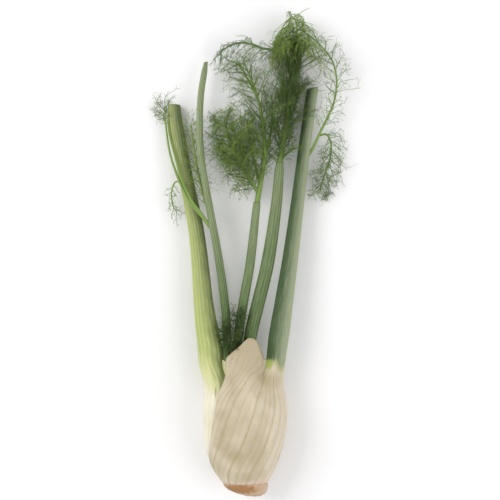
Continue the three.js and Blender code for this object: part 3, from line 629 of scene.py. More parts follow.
# %% Its veins
# Where each vein leaves the root, as a share of the way round, and how deep its groove is
right_vein = np.array([
    (0.01, 0.6), (0.072, 0.8), (0.134, 0.6), (0.196, 0.75), (0.258, 0.7), (0.32, 0.8), (0.382, 0.65),
    (0.444, 0.75), (0.506, 0.65), (0.56, 0.65), (0.612, 0.75), (0.669, 0.85), (0.705, 0.6),
    (0.741, 0.75), (0.797, 0.95), (0.833, 0.6), (0.868, 0.75), (0.926, 0.9), (0.963, 0.75),
    (0.998, 0.7), (1.03, 0.7), (1.085, 0.6), (1.14, 0.6), (1.2, 0.5), (1.26, 0.5),
])
vein_lean = through([
    (-30, 0), (-15, 0.006), (0, 0.02), (15, 0.047), (25, 0.069),
    (32, 0.088), (40, 0.118), (47, 0.165), (62, 0.22),
])


def right_veins(u, y):
    """The veins in front lean over towards the stalk as they rise."""
    leaning = u + vein_lean(y) * smoothstep(0.42, 0.6, u)
    return np.interp(leaning, right_vein[:, 0], np.arange(len(right_vein)))


def right_strength(vein):
    return np.interp(vein, np.arange(len(right_vein)), right_vein[:, 1])


# %% Its colours, and the leaf itself
DARKER_TAN = ((10, -30), (13, 22))  # the middle and the half sizes of a tan place on the belly
WORN = ((-4, 8), (12, 16))  # and of a fainter one above it


def right_shade(y, u, edge, x_place, y_place):
    """The flap and the free edge are tan, the flap's curled right edge has a band of painted shade, and two
    places on the belly are darker tan.
    """
    flap = 0.8 * smoothstep(20, 64, y) * smoothstep(0.62, 0.78, u)
    # A band of painted shade along the flap's curled right edge, and a drier tan along the free edge
    flap_side = smoothstep(0.72, 0.75, u) * smoothstep(0.84, 0.79, u)
    curl_shade_and_dry_edge = 0.9 * smoothstep(5, 1, right_top(u) - y) * flap_side + 0.4 * smoothstep(3, 0, edge)
    darker_tan, worn = (smoothstep(1.3, 0.3, from_middle(x_place, y_place, *tan)) for tan in (DARKER_TAN, WORN))
    return flap + curl_shade_and_dry_edge + 0.8 * darker_tan + 0.4 * worn


right_green = through([(42, 0), (48, 0.4), (53, 0.85), (62, 1)])

outer_right = {
    "side": 1,
    "seed": 3,
    "ribs": 24,  # what its width would hold side by side, ten columns of the grid to each
    "keel": (2, 34),  # half ribs: the stalk takes the columns between these
    "front_edge": right_front,
    "back_edge": right_back,
    "thickness": right_thickness,
    "under": lambda angle, y: 0 * y,
    "top_edge": right_top,
    "gather": (12, 54),
    "veins": right_veins,
    "strength": right_strength,
    "finer": 1.0,  # how deep the stalk's extra grooves are, against the others
    "ribbed": lambda u, y: 1 - 0.7 * smoothstep(50, 70, y) * smoothstep(0.68, 0.74, u),
    "green": lambda x, y: right_green(y),
    "green_flap": 0.0,  # how green the sheath is beside the stalk
    "fleck": (-32, -51.5),  # a small green fleck, low on the left
    "mark": (23.4, 51.5),
    "mark_size": (3.8, 6.5),
    "marked": 0.85,
    "stalk_lines": 0.7,
    # from the stalk's lit to its shaded green: a green that changes along the stalk, and painted shade on
    # its side towards the heart
    "green_depth_and_shade": through([(40, 0.2), (54, 0.6), (90, 0.65), (150, 0.65), (260, 0.6), (329, 0.55)]),
    "painted_shade_across": 0.8,
    "shade": right_shade,
    "stalk": {
        "x": through([
            (0, 22), (50, 29.5), (77, 33), (110, 38), (160, 45.5), (220, 53.5), (270, 60), (329, 68.4),
        ]),
        "z": through([(0, 30), (50, 30.5), (77, 30.5), (160, 24.5), (240, 16), (329, 5.8)]),
        "half_width": through([
            (0, 12), (50, 10.2), (77, 11), (110, 10), (160, 8.4), (240, 6.8), (329, 6.2),
        ]),
        "half_depth": through([(0, 10), (50, 9), (77, 9.4), (160, 7.6), (240, 6.4), (329, 5.4)]),
        "end": 329,
        "rib_height": 0.3,
        "channel": 0.8,
        "cut_slope": 0.25,
    },
}
wrapping_leaf("leaf_outer_right_skin", "leaf_outer_right", outer_right_skin, outer_right)

# %% [markdown]
# ### The next leaf, on the left
#
# It is wrapped the other way round, and both its margins pass under the first leaf. So it lies
# deeper below the skin wherever the first leaf covers it, by that leaf's thickness and a gap.


# %% The next leaf
def lying_over(angle, y):
    """How far the left leaf is pressed in by the right leaf at a place."""
    past = np.maximum(angle - (180 - right_front(y)), (-180 - right_back(y)) - angle)
    cover = mix(MARGIN, right_thickness(y), thickening(past)) + LAYER_GAP
    beside = mix(0.3, MARGIN + LAYER_GAP, smoothstep(-16, 0, past))
    return np.where(past >= 0, cover, beside)


OVERLAP = 24  # degrees that the left leaf's margins run on under the right leaf
FURTHEST_FRONT, FURTHEST_BACK = 92, -108
left_lean = through([(20, 0.14), (35, 0.1), (46, 0.06), (72, 0), (100, 0)])
left_green = through([(28, 0), (40, 0.3), (52, 0.6), (75, 0.9), (105, 1)])

outer_left = {
    "side": -1,
    "seed": 8,
    "ribs": 16,
    "keel": (2, 30),
    "front_edge": lambda y: np.minimum(180 - right_front(y) + OVERLAP, FURTHEST_FRONT),
    "back_edge": lambda y: np.maximum(-180 - right_back(y) - OVERLAP, FURTHEST_BACK),
    "thickness": through([(-68, 4), (-40, 5.4), (0, 5.6), (30, 5), (50, 4), (80, 3)]),
    "under": lying_over,
    "top_edge": through([(0, 38), (0.062, 50), (0.938, 54.5), (0.969, 54.5), (1, 50)]),
    "gather": (8, 50),
    # Its veins slant down under the other leaf, and on that side the green comes lower
    "veins": lambda u, y: 16 * (u - left_lean(y)),
    "strength": lambda rib: 0.72 + 0.28 * vary(rib, 8),
    "finer": 0.0,
    "ribbed": lambda u, y: 0.4 + 0 * y,
    "green": lambda x, y: left_green(y + 22 * smoothstep(-42, -24, x) + 36 * smoothstep(-26, -21, x)),
    "green_flap": 1.0,
    "fleck": NOWHERE,
    "mark": (-29, 24),  # beside the other leaf's edge
    "mark_size": (0.9, 5.5),
    "marked": 0.6,
    "stalk_lines": 0.45,
    # from the stalk's lit to its shaded green: a green that changes along the stalk, and painted shade on
    # its side towards the heart
    "green_depth_and_shade": through([(20, 0.05), (60, 0.2), (110, 0.4), (200, 0.6), (312, 0.8)]),
    "painted_shade_across": 0.55,
    "shade": lambda y, u, edge, x_place, y_place: 0 * y,
    "stalk": {
        "x": through([
            (0, -22), (40, -31.5), (69, -34.6), (94, -38.8), (115, -41.4),
            (159, -45.6), (191, -50), (242, -60.5), (273, -66.8), (297, -70.8), (312, -71.8),
        ]),
        "z": through([(0, 30), (50, 29.5), (94, 27), (160, 20.5), (242, 11.6), (312, 6.4)]),
        "half_width": through([
            (0, 12), (50, 13.2), (69, 12.9), (94, 11.4), (115, 10.2),
            (159, 8.9), (191, 8.2), (242, 7.6), (273, 8.1), (297, 7.5), (312, 6.3),
        ]),
        "half_depth": through([(0, 10), (50, 10), (94, 9.4), (159, 7.8), (242, 6.6), (312, 6)]),
        "end": 312,
        "rib_height": 0.22,
        "channel": 0.75,
        "cut_slope": -0.05,
    },
}
wrapping_leaf("leaf_outer_left_skin", "leaf_outer_left", outer_left_skin, outer_left)

# %% [markdown]
# ## Inner leaves
#
# Three younger leaves stand inside. Their bases are packed flat against each other in the bulb,
# where nothing of them shows, and their stalks come out between the outer ones. Each is a loft:
# rings of points whose section goes from boxy to round, with a fine rib every few millimetres.


# %% Loft an inner leaf
INNER_RIBS = 12
INNER_RIB = 0.3  # height of a crest, as on the outer right stalk
CLOSING = 9  # height over which the end draws in
SLANTING = 12  # height over which a slanting cut shows


def inner_leaf(name, node, leaf, sides=72, rings=150):
    y = np.linspace(leaf["start"], leaf["end"], rings)[:, None]
    turn = np.linspace(0, 2 * np.pi, sides, endpoint=False)
    ribs_across = turn / (2 * np.pi) * INNER_RIBS
    groove = groove_depth(ribs_across, lambda rib: 0.65 + 0.35 * vary(rib % INNER_RIBS, leaf["seed"]))
    boxy = mix(0.75, 1, smoothstep(20, 70, y))
    closing = mix(1, leaf["tip"], smoothstep(leaf["end"] - CLOSING, leaf["end"], y))
    relief = INNER_RIB * (1 - 2 * groove)
    across = np.sign(np.cos(turn)) * np.abs(np.cos(turn)) ** boxy
    up = np.sign(np.sin(turn)) * np.abs(np.sin(turn)) ** boxy
    across = across * (leaf["half_width"](y) * closing + relief)
    up = up * (leaf["half_depth"](y) * closing + relief)
    cut = leaf["cut_slope"] * smoothstep(leaf["end"] - SLANTING, leaf["end"], y)
    grid = np.stack([leaf["x"](y) + across, y + cut * across, leaf["z"](y) + up], axis=-1)

    numbers = np.arange(rings * sides).reshape(rings, sides)
    top_points, top_faces = cut_cap(numbers[-1], grid[-1], rings * sides)
    base_points, base_faces = cut_cap(
        numbers[0][::-1], grid[0][::-1], rings * sides + len(top_points), rings=2
    )
    points = np.concatenate([grid.reshape(-1, 3), top_points, base_points])
    faces = grid_faces(np.column_stack([numbers, numbers[:, 0]])) + top_faces + base_faces
    caps = len(top_points) + len(base_points)
    everywhere = np.broadcast_to(y, (rings, sides))
    values = {
        "groove": np.append(np.broadcast_to(groove**2, (rings, sides)), np.zeros(caps)),
        "green": np.append(leaf["green"](everywhere), np.zeros(caps)),
        "green_depth_and_shade": np.append(leaf["green_depth_and_shade"](everywhere), np.zeros(caps)),
        **{plain: np.zeros(len(points)) for plain in ("shade", "blush", "marked")},
        "cut": np.append(np.zeros(rings * sides), np.ones(caps)) * leaf["is_cut"],
        "flow": np.stack([
            np.append(np.broadcast_to(ribs_across, (rings, sides)), np.zeros(caps)),
            points[:, 1] / STREAK,
            np.full(len(points), leaf["seed"]),
        ], axis=1),
    }
    return make_piece(name, points, facing_out(points, faces), inner_skin, node, values)


# %% The three inner leaves
# An inner stalk goes darkest about 80 mm up, where it passes between the outer stalks: that darkening is
# painted shade
young_green = through([(20, 0), (50, 0.7), (62, 1)])
inner_right = {
    "seed": 5, "start": -60, "end": 252, "tip": 0.84, "cut_slope": 0.0, "is_cut": 0, "green": young_green,
    "green_depth_and_shade": through([(40, 0.6), (80, 0.9), (252, 0.55)]),
    "x": through([
        (-60, 5), (-20, 13), (20, 12), (54, 4), (80, 6), (110, 13), (150, 22.5), (210, 31.5), (252, 35),
    ]),
    "z": through([(-60, 30), (20, 30), (54, 28.5), (150, 29), (252, 25)]),
    "half_width": through([
        (-60, 3), (-20, 7.8), (20, 7), (54, 5.8), (90, 6.6), (150, 6.6), (210, 5.4), (252, 4.4),
    ]),
    "half_depth": through([(-60, 5), (-20, 15), (20, 12.5), (54, 7.6), (90, 7), (150, 6.2), (252, 4.2)]),
}
inner_leaf("leaf_inner_right_skin", "leaf_inner_right", inner_right)

heart = {
    "seed": 6, "start": -60, "end": 212, "tip": 0.95, "cut_slope": 0.0, "is_cut": 0, "green": young_green,
    "green_depth_and_shade": through([(40, 0.8), (80, 1), (212, 0.5)]),
    "x": through([
        (-60, -1), (-20, -2.4), (20, -3.2), (54, -8), (80, -6.5), (110, -2), (150, 5), (212, 12),
    ]),
    "z": through([(-60, 30), (20, 30), (54, 29), (120, 32.5), (212, 27)]),
    "half_width": through([
        (-60, 2), (-20, 6.4), (20, 6), (54, 4.7), (100, 4.7), (160, 4.4), (212, 3.6),
    ]),
    "half_depth": through([(-60, 5), (-20, 18), (20, 15.5), (54, 8.2), (100, 5), (212, 3.5)]),
}
inner_leaf("leaf_heart_skin", "leaf_heart", heart)

inner_left = {
    "seed": 7, "start": -60, "end": 354, "tip": 0.8, "cut_slope": 0.2, "is_cut": 1, "green": young_green,
    "green_depth_and_shade": through([(40, 0.8), (80, 1), (200, 0.4), (300, 0.25), (354, 0.35)]),
    "x": through([
        (-60, -7), (-20, -17.4), (20, -17), (54, -18.2), (80, -18.2), (110, -20),
        (160, -27), (215, -37), (264, -44.6), (314, -45), (354, -39.6),
    ]),
    "z": through([(-60, 30), (20, 30), (54, 30), (120, 31.5), (215, 28.5), (300, 22), (354, 17)]),
    "half_width": through([
        (-60, 2.4), (-20, 6.6), (20, 5.2), (38, 4.4), (54, 4.3),
        (100, 4.2), (160, 3.9), (264, 3.2), (340, 2.9), (354, 2.2),
    ]),
    "half_depth": through([
        (-60, 4), (-20, 13), (20, 9.6), (38, 6.4), (54, 5.4),
        (100, 4.2), (264, 3.1), (340, 2.8), (354, 2.1),
    ]),
}
inner_leaf("leaf_inner_left_skin", "leaf_inner_left", inner_left)

# %% [markdown]
# ## Root plate
#
# The trimmed stem is a low, lumpy dome below the leaves. The knife took a slice off its front
# too, which has browned the most. Lumps are added by formula at two sizes: the scars of old roots
# about 8 mm apart, and torn tissue about 3 mm apart.

# %% The root plate
ROOT_SIDES, ROOT_RINGS = 160, 60
ROOT_CUT, ROOT_TOP = -81, -68.1
root_width = through([(ROOT_CUT, 8.5), (-78.5, 14.5), (-75, 19.5), (-71.5, 22), (ROOT_TOP, 22.2)])
root_depth = through([(ROOT_CUT, 7), (-78.5, 11), (-75, 14.5), (-71.5, 16), (ROOT_TOP, 15.9)])
root_middle = through([(ROOT_CUT, 8.5), (-78.5, 6), (-75, 3.2), (-71.5, 1.2), (ROOT_TOP, 0.2)])
y = np.linspace(ROOT_CUT, ROOT_TOP, ROOT_RINGS)[:, None]
turn = np.linspace(0, 2 * np.pi, ROOT_SIDES, endpoint=False)
x = root_middle(y) + root_width(y) * np.cos(turn)
z = AXIS_HEIGHT + root_depth(y) * np.sin(turn)
scars = 0.45 * unevenness(x / 2.4, y / 2.2, z / 2.4)
torn = 0.18 * unevenness(x / 0.8, y / 0.7, z / 0.8)
lumps = (scars + torn) * mix(1, 0.2, smoothstep(-71, ROOT_TOP, y))
x = x + lumps * np.cos(turn)
z = z + lumps * np.sin(turn)
grid = np.stack([x, y - 0.2 * lumps, z], axis=-1)
numbers = np.arange(ROOT_RINGS * ROOT_SIDES).reshape(ROOT_RINGS, ROOT_SIDES)
cut_points, cut_faces = cut_cap(numbers[0][::-1], grid[0][::-1], numbers.size, rings=10)
cut_points[:, 1] += 0.25 * unevenness(cut_points[:, 0] / 1.5, cut_points[:, 2] / 1.5)
top_points, top_faces = cut_cap(numbers[-1], grid[-1], numbers.size + len(cut_points), rings=2)
points = np.concatenate([grid.reshape(-1, 3), cut_points, top_points])
faces = grid_faces(np.column_stack([numbers, numbers[:, 0]])) + cut_faces + top_faces

# %% Where it has browned, and the piece
BROWN_PATCH = (-4, -72.3)  # the middle of the browned slice, on the side towards the camera
PATCH_SIZE = (12.5, 3.6)
from_patch = from_middle(points[:, 0], points[:, 1], BROWN_PATCH, PATCH_SIZE)
on_top = smoothstep(AXIS_HEIGHT - 4, AXIS_HEIGHT + 4, points[:, 2])
browned = (1 - smoothstep(0.4, 2.6, from_patch)) * on_top
browned = np.maximum(browned, 0.55 * smoothstep(-74, -81, points[:, 1]))
make_piece(
    "root_plate_skin", points, facing_out(points, faces), root_cut, "root_plate",
    {"browned": browned},
)

# %% [markdown]
# ## Fronds
#
# A fennel frond divides over and over: a stem carries side shoots, a shoot carries branchlets all
# round, and each of those forks into threads. Hair curves would draw this fast, but they aren't
# part of an exported model, so every shoot and thread is a thin closed tube with few sides. They
# are grown in layers with numpy: each layer is an array of lines, and the next one starts from
# places along it. The stems and the first layer of side shoots follow the same rule as the solids
# that they replace, but for a slight sway.

# %% Lines and tubes
LOWEST_THREAD = 0.4  # how near the surface a thread comes


def smooth_line(corners, count):
    """count points at even steps along a smooth curve through the given ones."""
    p = np.array(corners, float)
    p = np.vstack([2 * p[0] - p[1], p, 2 * p[-1] - p[-2]])
    t = np.linspace(0, 1, 24, endpoint=False)[:, None]
    stretches = [
        b * (2 * t**3 - 3 * t**2 + 1) + c * (3 * t**2 - 2 * t**3)
        + (c - a) / 2 * (t**3 - 2 * t**2 + t) + (d - b) / 2 * (t**3 - t**2)
        for a, b, c, d in zip(p, p[1:], p[2:], p[3:])
    ]
    fine = np.vstack([*stretches, p[-2:-1]])
    travelled = np.append(0, np.cumsum(np.linalg.norm(np.diff(fine, axis=0), axis=1)))
    even = np.linspace(0, travelled[-1], count)
    return np.stack([np.interp(even, travelled, fine[:, k]) for k in range(3)], axis=1)


def unit(vectors):
    return vectors / np.maximum(np.linalg.norm(vectors, axis=-1, keepdims=True), 1e-9)


def sideways(tangent):
    """Two directions square to each tangent: one level, one as upright as it can be."""
    across = unit(np.cross([0.0, 0.0, 1.0], tangent) + [1e-6, 0, 0])
    return across, np.cross(tangent, across)


def tubes(lines, radii, sides):
    """Closed tubes, pointed at both ends. lines is [tube, point, xyz], radii [tube, point]."""
    count, steps = lines.shape[:2]
    across, up = sideways(unit(np.gradient(lines, axis=1)))
    turn = 2 * np.pi * np.arange(sides) / sides
    round_it = (
        np.cos(turn)[:, None] * across[:, 1:-1, None] + np.sin(turn)[:, None] * up[:, 1:-1, None]
    )
    ring = lines[:, 1:-1, None] + radii[:, 1:-1, None, None] * round_it
    points = np.concatenate([lines[:, :1], ring.reshape(count, -1, 3), lines[:, -1:]], axis=1)
    each = points.shape[1]
    k, after = np.arange(sides), (np.arange(sides) + 1) % sides
    start = 1 + sides * np.arange(steps - 3)[:, None]
    quads = np.stack([start + k, start + after, start + sides + after, start + sides + k], axis=-1)
    root = np.stack([0 * k, 1 + after, 1 + k], axis=-1)
    tip = np.stack([0 * k + each - 1, each - 1 - sides + k, each - 1 - sides + after], axis=-1)
    shift = each * np.arange(count)[:, None, None]
    quads = (quads.reshape(1, -1, 4) + shift).reshape(-1, 4)
    tris = (np.concatenate([root, tip])[None] + shift).reshape(-1, 3)
    return points.reshape(-1, 3), quads, tris, each


# %% [markdown]
# `offshoots` grows one layer from another. Each new line leaves its parent at an angle, on a side
# given by a turn about the parent, and bends a little: down the frond where it hangs, and by its
# own small curl. The draws come from one seeded generator, so the frond is the same every time.


# %% Grow one layer from another
ROUND_STEP = 2.4  # radians from one shoot to the next, where they leave all round
HANGING = np.array([0, -1, -0.15])  # the way a frond hangs as it lies: towards the root, and down
SHORTENING = 0.45  # how much shorter the last offshoot is than the first, as a share


def place_along(lines, at):
    """Points and tangents at a share of the way along each line."""
    steps = lines.shape[1] - 1
    i = np.clip((at * steps).astype(int), 0, steps - 1)
    rows = np.arange(len(lines))
    a, b = lines[rows, i], lines[rows, i + 1]
    return mix(a, b, (at * steps - i)[:, None]), unit(b - a)


def leaving(tangent, turn, lean):
    """The way a shoot sets out: lean is its angle from the parent, turn its side of it."""
    across, up = sideways(tangent)
    outwards = np.cos(turn)[:, None] * across + np.sin(turn)[:, None] * up
    return np.cos(lean)[:, None] * tangent + np.sin(lean)[:, None] * outwards


def offshoots(draw, lines, per_line, at, spread, length, curl, droop, points):
    """per_line new lines from each line. at is (first, last); spread is in degrees."""
    uneven = 7 + 30 * curl  # degrees, more where the frond is curly
    count = len(lines) * per_line
    parent = np.repeat(np.arange(len(lines)), per_line)
    order = np.tile(np.arange(per_line), len(lines))
    share = mix(at[0], at[1], (order + draw.uniform(0.2, 0.8, count)) / per_line)
    root, tangent = place_along(lines[parent], share)
    turn = order * ROUND_STEP + draw.uniform(-0.6, 0.6, count)
    lean = (spread + draw.normal(0, uneven, count)) * DEGREES
    way = leaving(tangent, turn, lean)
    long = np.repeat(length, per_line) * draw.uniform(0.7, 1.2, count) * (1 - SHORTENING * share)
    bend = draw.normal(0, curl, (count, 3)) + HANGING * np.repeat(droop, per_line)[:, None]
    wave = draw.normal(0, 0.35 * curl, (count, 3))
    s = np.linspace(0, 1, points)[None, :, None]
    grown = root[:, None] + long[:, None, None] * (
        way[:, None] * s + bend[:, None] * s * s + wave[:, None] * np.sin(2 * np.pi * s)
    )
    grown[..., 2] = np.maximum(grown[..., 2], LOWEST_THREAD)
    return grown, long


# %% Side shoots of a stem
SHOOT_POINTS = 10


def side_shoots(line, stem):
    """The lines of a stem's side shoots, by the rule that the solids follow, in several layers."""
    shoots, lengths, droops = [], [], []
    for layer in range(stem["layers"]):
        i = np.arange(stem["shoots"])
        added = layer > 0  # a layer that the solids don't have, and so a less even one
        shift = 0.4 * added * vary(i, 5 + 10 * layer)
        at = mix(stem["start"], 0.99, (i + 0.5 + shift + layer / stem["layers"]) / stem["shoots"])
        at = np.clip(at, stem["start"], 0.995)
        root, tangent = place_along(np.repeat(line[None], len(i), axis=0), at)
        reach = through(stem["reach"])(at) * (1 + (0.18 + 0.12 * added) * vary(i, 1 + 10 * layer))
        reach = reach * np.where(i % 2, stem["right_share"], 1)
        side = ROUND_STEP * i if stem["all_round"] else (i % 2) * np.pi
        turn = side + 0.9 * vary(i, 2 + 10 * layer)
        lean = (through(stem["spread"])(at) + (8 + 4 * layer) * vary(i, 7 + 10 * layer)) * DEGREES
        way = leaving(tangent, turn, lean)
        droop = through(stem["droop"])(at)
        s = np.linspace(0, 1, SHOOT_POINTS)[None, :, None]
        level = sideways(tangent)[0][:, None]
        sway = (0.06 + stem["curl"] * added) * vary(i, 3 + 10 * layer)[:, None, None] * level
        bend = 0.7 * droop[:, None, None] * np.array([0, -1, 0]) * s * s + sway * s * np.sin(4 * s)
        grown = root[:, None] + reach[:, None, None] * (way[:, None] * s + bend)
        grown[..., 2] = np.maximum(grown[..., 2], LOWEST_THREAD)
        shoots.append(grown)
        lengths.append(reach)
        droops.append(droop)
    return np.concatenate(shoots), np.concatenate(lengths), np.concatenate(droops)


# %% Grow a whole frond
THREAD_RADIUS = 0.17  # coarser than a real thread, so that it shows
BRANCHLET_SPACING = 3.4  # along a side shoot
STEM_POINTS, THREAD_POINTS = 48, 5
STEM_SIDES, SHOOT_SIDES, THREAD_SIDES = 10, 5, 3
SINGLE_POINTS = 12
SHOOT_RADIUS = (0.32, 0.62)  # of the shortest and the longest side shoots
BRANCHLET_TAPER, THREAD_TAPER = [1, 1, 0.9, 0.75, 1], [1, 1, 0.9, 0.65, 1]  # both ends are points anyway
LENGTH_STEP = 5  # side shoots are dealt with together where they are about equally long
USUAL = {  # of a stem that says nothing else
    "layers": 2, "droop": [(0, 0), (1, 0)], "curl": 0.2, "right_share": 1, "all_round": False,
    "hang": 0.35, "thread": 0.9, "threads": 3,
}


def grow_frond(name, stems, seed, loose=()):
    """loose: single threads that stand out, each a route through a few points."""
    draw = np.random.default_rng(seed)
    points, quads, tris, tones, stem_marks = [], [], [], [], []
    used = 0

    def lay(lines, radii, sides, tone, stem_mark):
        nonlocal used
        made, four, three, each = tubes(lines, radii, sides)
        points.append(made)
        quads.append(four + used)
        tris.append(three + used)
        tones.append(np.repeat(np.broadcast_to(tone, len(lines)), each))
        stem_marks.append(np.full(len(made), stem_mark))
        used += len(made)

    for route in loose:
        line = smooth_line(route, SINGLE_POINTS)
        lay(line[None], np.linspace(0.4, 0.2, SINGLE_POINTS)[None], SHOOT_SIDES, 0.45, 0.2)
    for stem in stems:
        stem = {**USUAL, **stem}
        line = smooth_line(stem["path"], STEM_POINTS)
        radius = mix(stem["from"], stem["to"], np.linspace(0, 1, STEM_POINTS))
        lay(line[None], radius[None], STEM_SIDES, stem["tone"], stem["rachis"])
        shoots, reach, droop = side_shoots(line, stem)
        shoot_tone = stem["tone"] + 0.1 * draw.normal(size=len(shoots))
        radius = np.outer(np.clip(reach / 55, *SHOOT_RADIUS), np.linspace(1, 0.35, SHOOT_POINTS))
        lay(shoots, radius, SHOOT_SIDES, shoot_tone, 0.45 * stem["rachis"])

        for size in np.unique(np.round(reach / LENGTH_STEP)):
            chosen = np.round(reach / LENGTH_STEP) == size
            per_shoot = max(int(LENGTH_STEP * size / BRANCHLET_SPACING * stem["fullness"]), 3)
            hang = stem["hang"] * droop[chosen]
            branchlets, long = offshoots(
                draw, shoots[chosen], per_shoot, (0.12, 1.0), stem["thread_spread"],
                stem["branchlet"] * reach[chosen], stem["curl"], hang, THREAD_POINTS,
            )
            tone = np.repeat(shoot_tone[chosen], per_shoot) + 0.12 * draw.normal(size=len(branchlets))
            thin = np.full(branchlets.shape[:2], THREAD_RADIUS * 1.25) * BRANCHLET_TAPER
            lay(branchlets, thin, THREAD_SIDES, tone, 0.15)
            threads, _ = offshoots(
                draw, branchlets, stem["threads"], (0.2, 0.95), stem["thread_spread"] + 4,
                stem["thread"] * long, stem["curl"], np.repeat(hang, per_shoot), THREAD_POINTS,
            )
            tone = np.repeat(tone, stem["threads"]) + 0.1 * draw.normal(size=len(threads)) + 0.06
            thin = np.full(threads.shape[:2], THREAD_RADIUS) * THREAD_TAPER
            lay(threads, thin, THREAD_SIDES, tone, 0)

    faces = np.concatenate(quads).tolist() + np.concatenate(tris).tolist()
    values = {"tone": np.clip(np.concatenate(tones), 0, 1), "stem": np.concatenate(stem_marks)}
    return make_piece(
        name + "_threads", np.concatenate(points), faces, frond_green, name, values
    )


# %% [markdown]
# Each stem is a route through a few points, with its radius `from` the foot `to` the tip. It says
# how its shoots `reach`, `spread` and `droop` along it, in millimetres, degrees and shares; then
# how dark the green is, from 0 to 1, and how yellow the stem; and how its branchlets and threads
# grow: their angle, their length as a share of their parent's, their number and their curl.
#
# The right inner leaf carries the tall dense frond, whose top hangs over; the heart leaf the open
# one and the fine, dense one beside it; thin branches stand beside the cut outer stalks.

# %% The fronds of the right inner leaf
inner_right_frond = [
    {  # the tall dense frond, with its shoots held close to the stem
        "path": [(34, 247, 25), (38, 270, 25), (43, 300, 25), (47, 330, 25), (49, 352, 25), (50, 364, 25)],
        "from": 3.4, "to": 1.0, "shoots": 36, "layers": 3, "start": 0.0, "all_round": True,
        "reach": [(0, 30), (0.3, 38), (0.5, 40), (0.8, 30), (1, 20)],
        "spread": [(0, 42), (0.12, 27), (0.3, 17), (1, 18)], "droop": [(0, 0.3), (0.2, 0), (1, 0)],
        "tone": 0.27, "rachis": 0.4, "thread_spread": 11, "branchlet": 0.42, "thread": 0.8, "threads": 4,
        "fullness": 1.15, "curl": 0.24,
    },
    {  # its top, which hangs over
        "path": [(48, 342, 25), (51, 366, 27), (52, 386, 27), (50, 396, 25), (45, 400, 22)],
        "from": 1.4, "to": 0.7, "shoots": 18, "layers": 4, "start": 0.3, "right_share": 0.8,
        "reach": [(0, 26), (0.4, 34), (0.8, 28), (1, 22)],
        "spread": [(0, 50), (0.5, 62), (1, 74)], "droop": [(0, 0.9), (0.5, 1.3), (1, 1.5)],
        "tone": 0.64, "rachis": 1.0, "thread_spread": 34, "branchlet": 0.42, "thread": 0.95, "threads": 2,
        "fullness": 0.46, "curl": 0.34, "hang": 0.9,
    },
    {  # the shoot that arches over to the left
        "path": [
            (46, 338, 26), (41, 354, 28), (32, 363, 29), (18, 366, 28),
            (4, 371, 26), (-7, 372, 24), (-19, 368, 20), (-28, 360, 15),
        ],
        "from": 1.6, "to": 0.6, "shoots": 20, "start": 0.15,
        "reach": [(0, 20), (0.5, 17), (1, 9)],
        "spread": [(0, 30), (1, 38)], "droop": [(0, 0.3), (1, 1.0)],
        "tone": 0.36, "rachis": 0.2, "thread_spread": 32, "branchlet": 0.45,
        "fullness": 0.65, "curl": 0.3, "hang": 0.6,
    },
]
single_threads = [
    [(52, 396, 25), (56, 402, 25), (60, 405, 24), (66, 408, 23)],
    [(9, 369, 26), (5, 375, 25.5), (0, 379, 24), (-10, 379.5, 21)],
    [(2, 378, 25), (0, 374, 24), (-1, 370, 23)],
]
grow_frond("frond_inner_right", inner_right_frond, seed=11, loose=single_threads)

# %% The fronds of the heart leaf
heart_frond = [
    {  # the open frond
        "path": [
            (11.5, 208, 27), (17, 240, 25), (20, 264, 23), (18, 290, 21),
            (13, 316, 19), (3, 336, 17), (-7, 352, 15), (-20, 357, 12),
        ],
        "from": 2.9, "to": 0.5, "shoots": 26, "start": 0.2,
        "reach": [(0, 26), (0.5, 38), (1, 14)],
        "spread": [(0, 50), (0.3, 36), (1, 42)], "droop": [(0, 0.2), (0.3, 0), (0.6, 0.1), (1, 0.5)],
        "tone": 0.46, "rachis": 0.7, "thread_spread": 34, "branchlet": 0.5, "thread": 1.0, "threads": 2,
        "fullness": 0.42, "curl": 0.42,
    },
    {  # the fine dense one beside it
        "path": [(14, 220, 26.5), (3, 238, 29), (-8, 256, 31), (-16, 276, 32), (-21, 294, 31)],
        "from": 2.0, "to": 0.6, "shoots": 30, "layers": 3, "start": 0.06,
        "reach": [(0, 22), (0.3, 26), (0.5, 26), (1, 17)],
        "spread": [(0, 62), (0.3, 42), (1, 44)], "droop": [(0, 0.2), (0.3, 0), (1, 0)],
        "tone": 0.53, "rachis": 0.1, "thread_spread": 48, "branchlet": 0.42, "thread": 0.85, "threads": 4,
        "fullness": 1.2, "curl": 0.5,
    },
    {  # a shoot between these two
        "path": [(16, 228, 26), (10, 250, 25), (5, 274, 25), (2, 296, 24)],
        "from": 1.5, "to": 0.6, "shoots": 18, "start": 0.04,
        "reach": [(0, 20), (0.4, 24), (0.6, 24), (1, 14)],
        "spread": [(0, 56), (0.4, 30), (1, 36)], "droop": [(0, 0.2), (0.3, 0), (1, 0)],
        "tone": 0.47, "rachis": 0.1, "thread_spread": 44, "branchlet": 0.42, "thread": 0.85, "threads": 4,
        "fullness": 1.1, "curl": 0.42,
    },
    {  # a shoot towards the dense frond
        "path": [(18, 246, 25), (24, 270, 23), (27, 296, 21), (27, 322, 19)],
        "from": 1.4, "to": 0.6, "shoots": 18, "start": 0.04,
        "reach": [(0, 20), (0.4, 24), (0.6, 24), (1, 14)],
        "spread": [(0, 50), (0.4, 28), (1, 36)], "droop": [(0, 0.2), (0.3, 0), (1, 0)],
        "tone": 0.36, "rachis": 0.3, "thread_spread": 30, "branchlet": 0.45,
        "fullness": 0.6, "curl": 0.36,
    },
    {  # the open frond's own branch
        "path": [(13, 316, 19.5), (10, 326, 21), (4, 341, 22), (-2, 354, 22)],
        "from": 1.2, "to": 0.5, "shoots": 10, "start": 0.2,
        "reach": [(0, 18), (0.5, 20), (1, 12)],
        "spread": [(0, 40), (1, 42)], "droop": [(0, 0), (1, 0.2)],
        "tone": 0.42, "rachis": 0.6, "thread_spread": 34, "branchlet": 0.45, "thread": 1.0, "threads": 2,
        "fullness": 0.5, "curl": 0.4,
    },
]
grow_frond("frond_heart", heart_frond, seed=12)

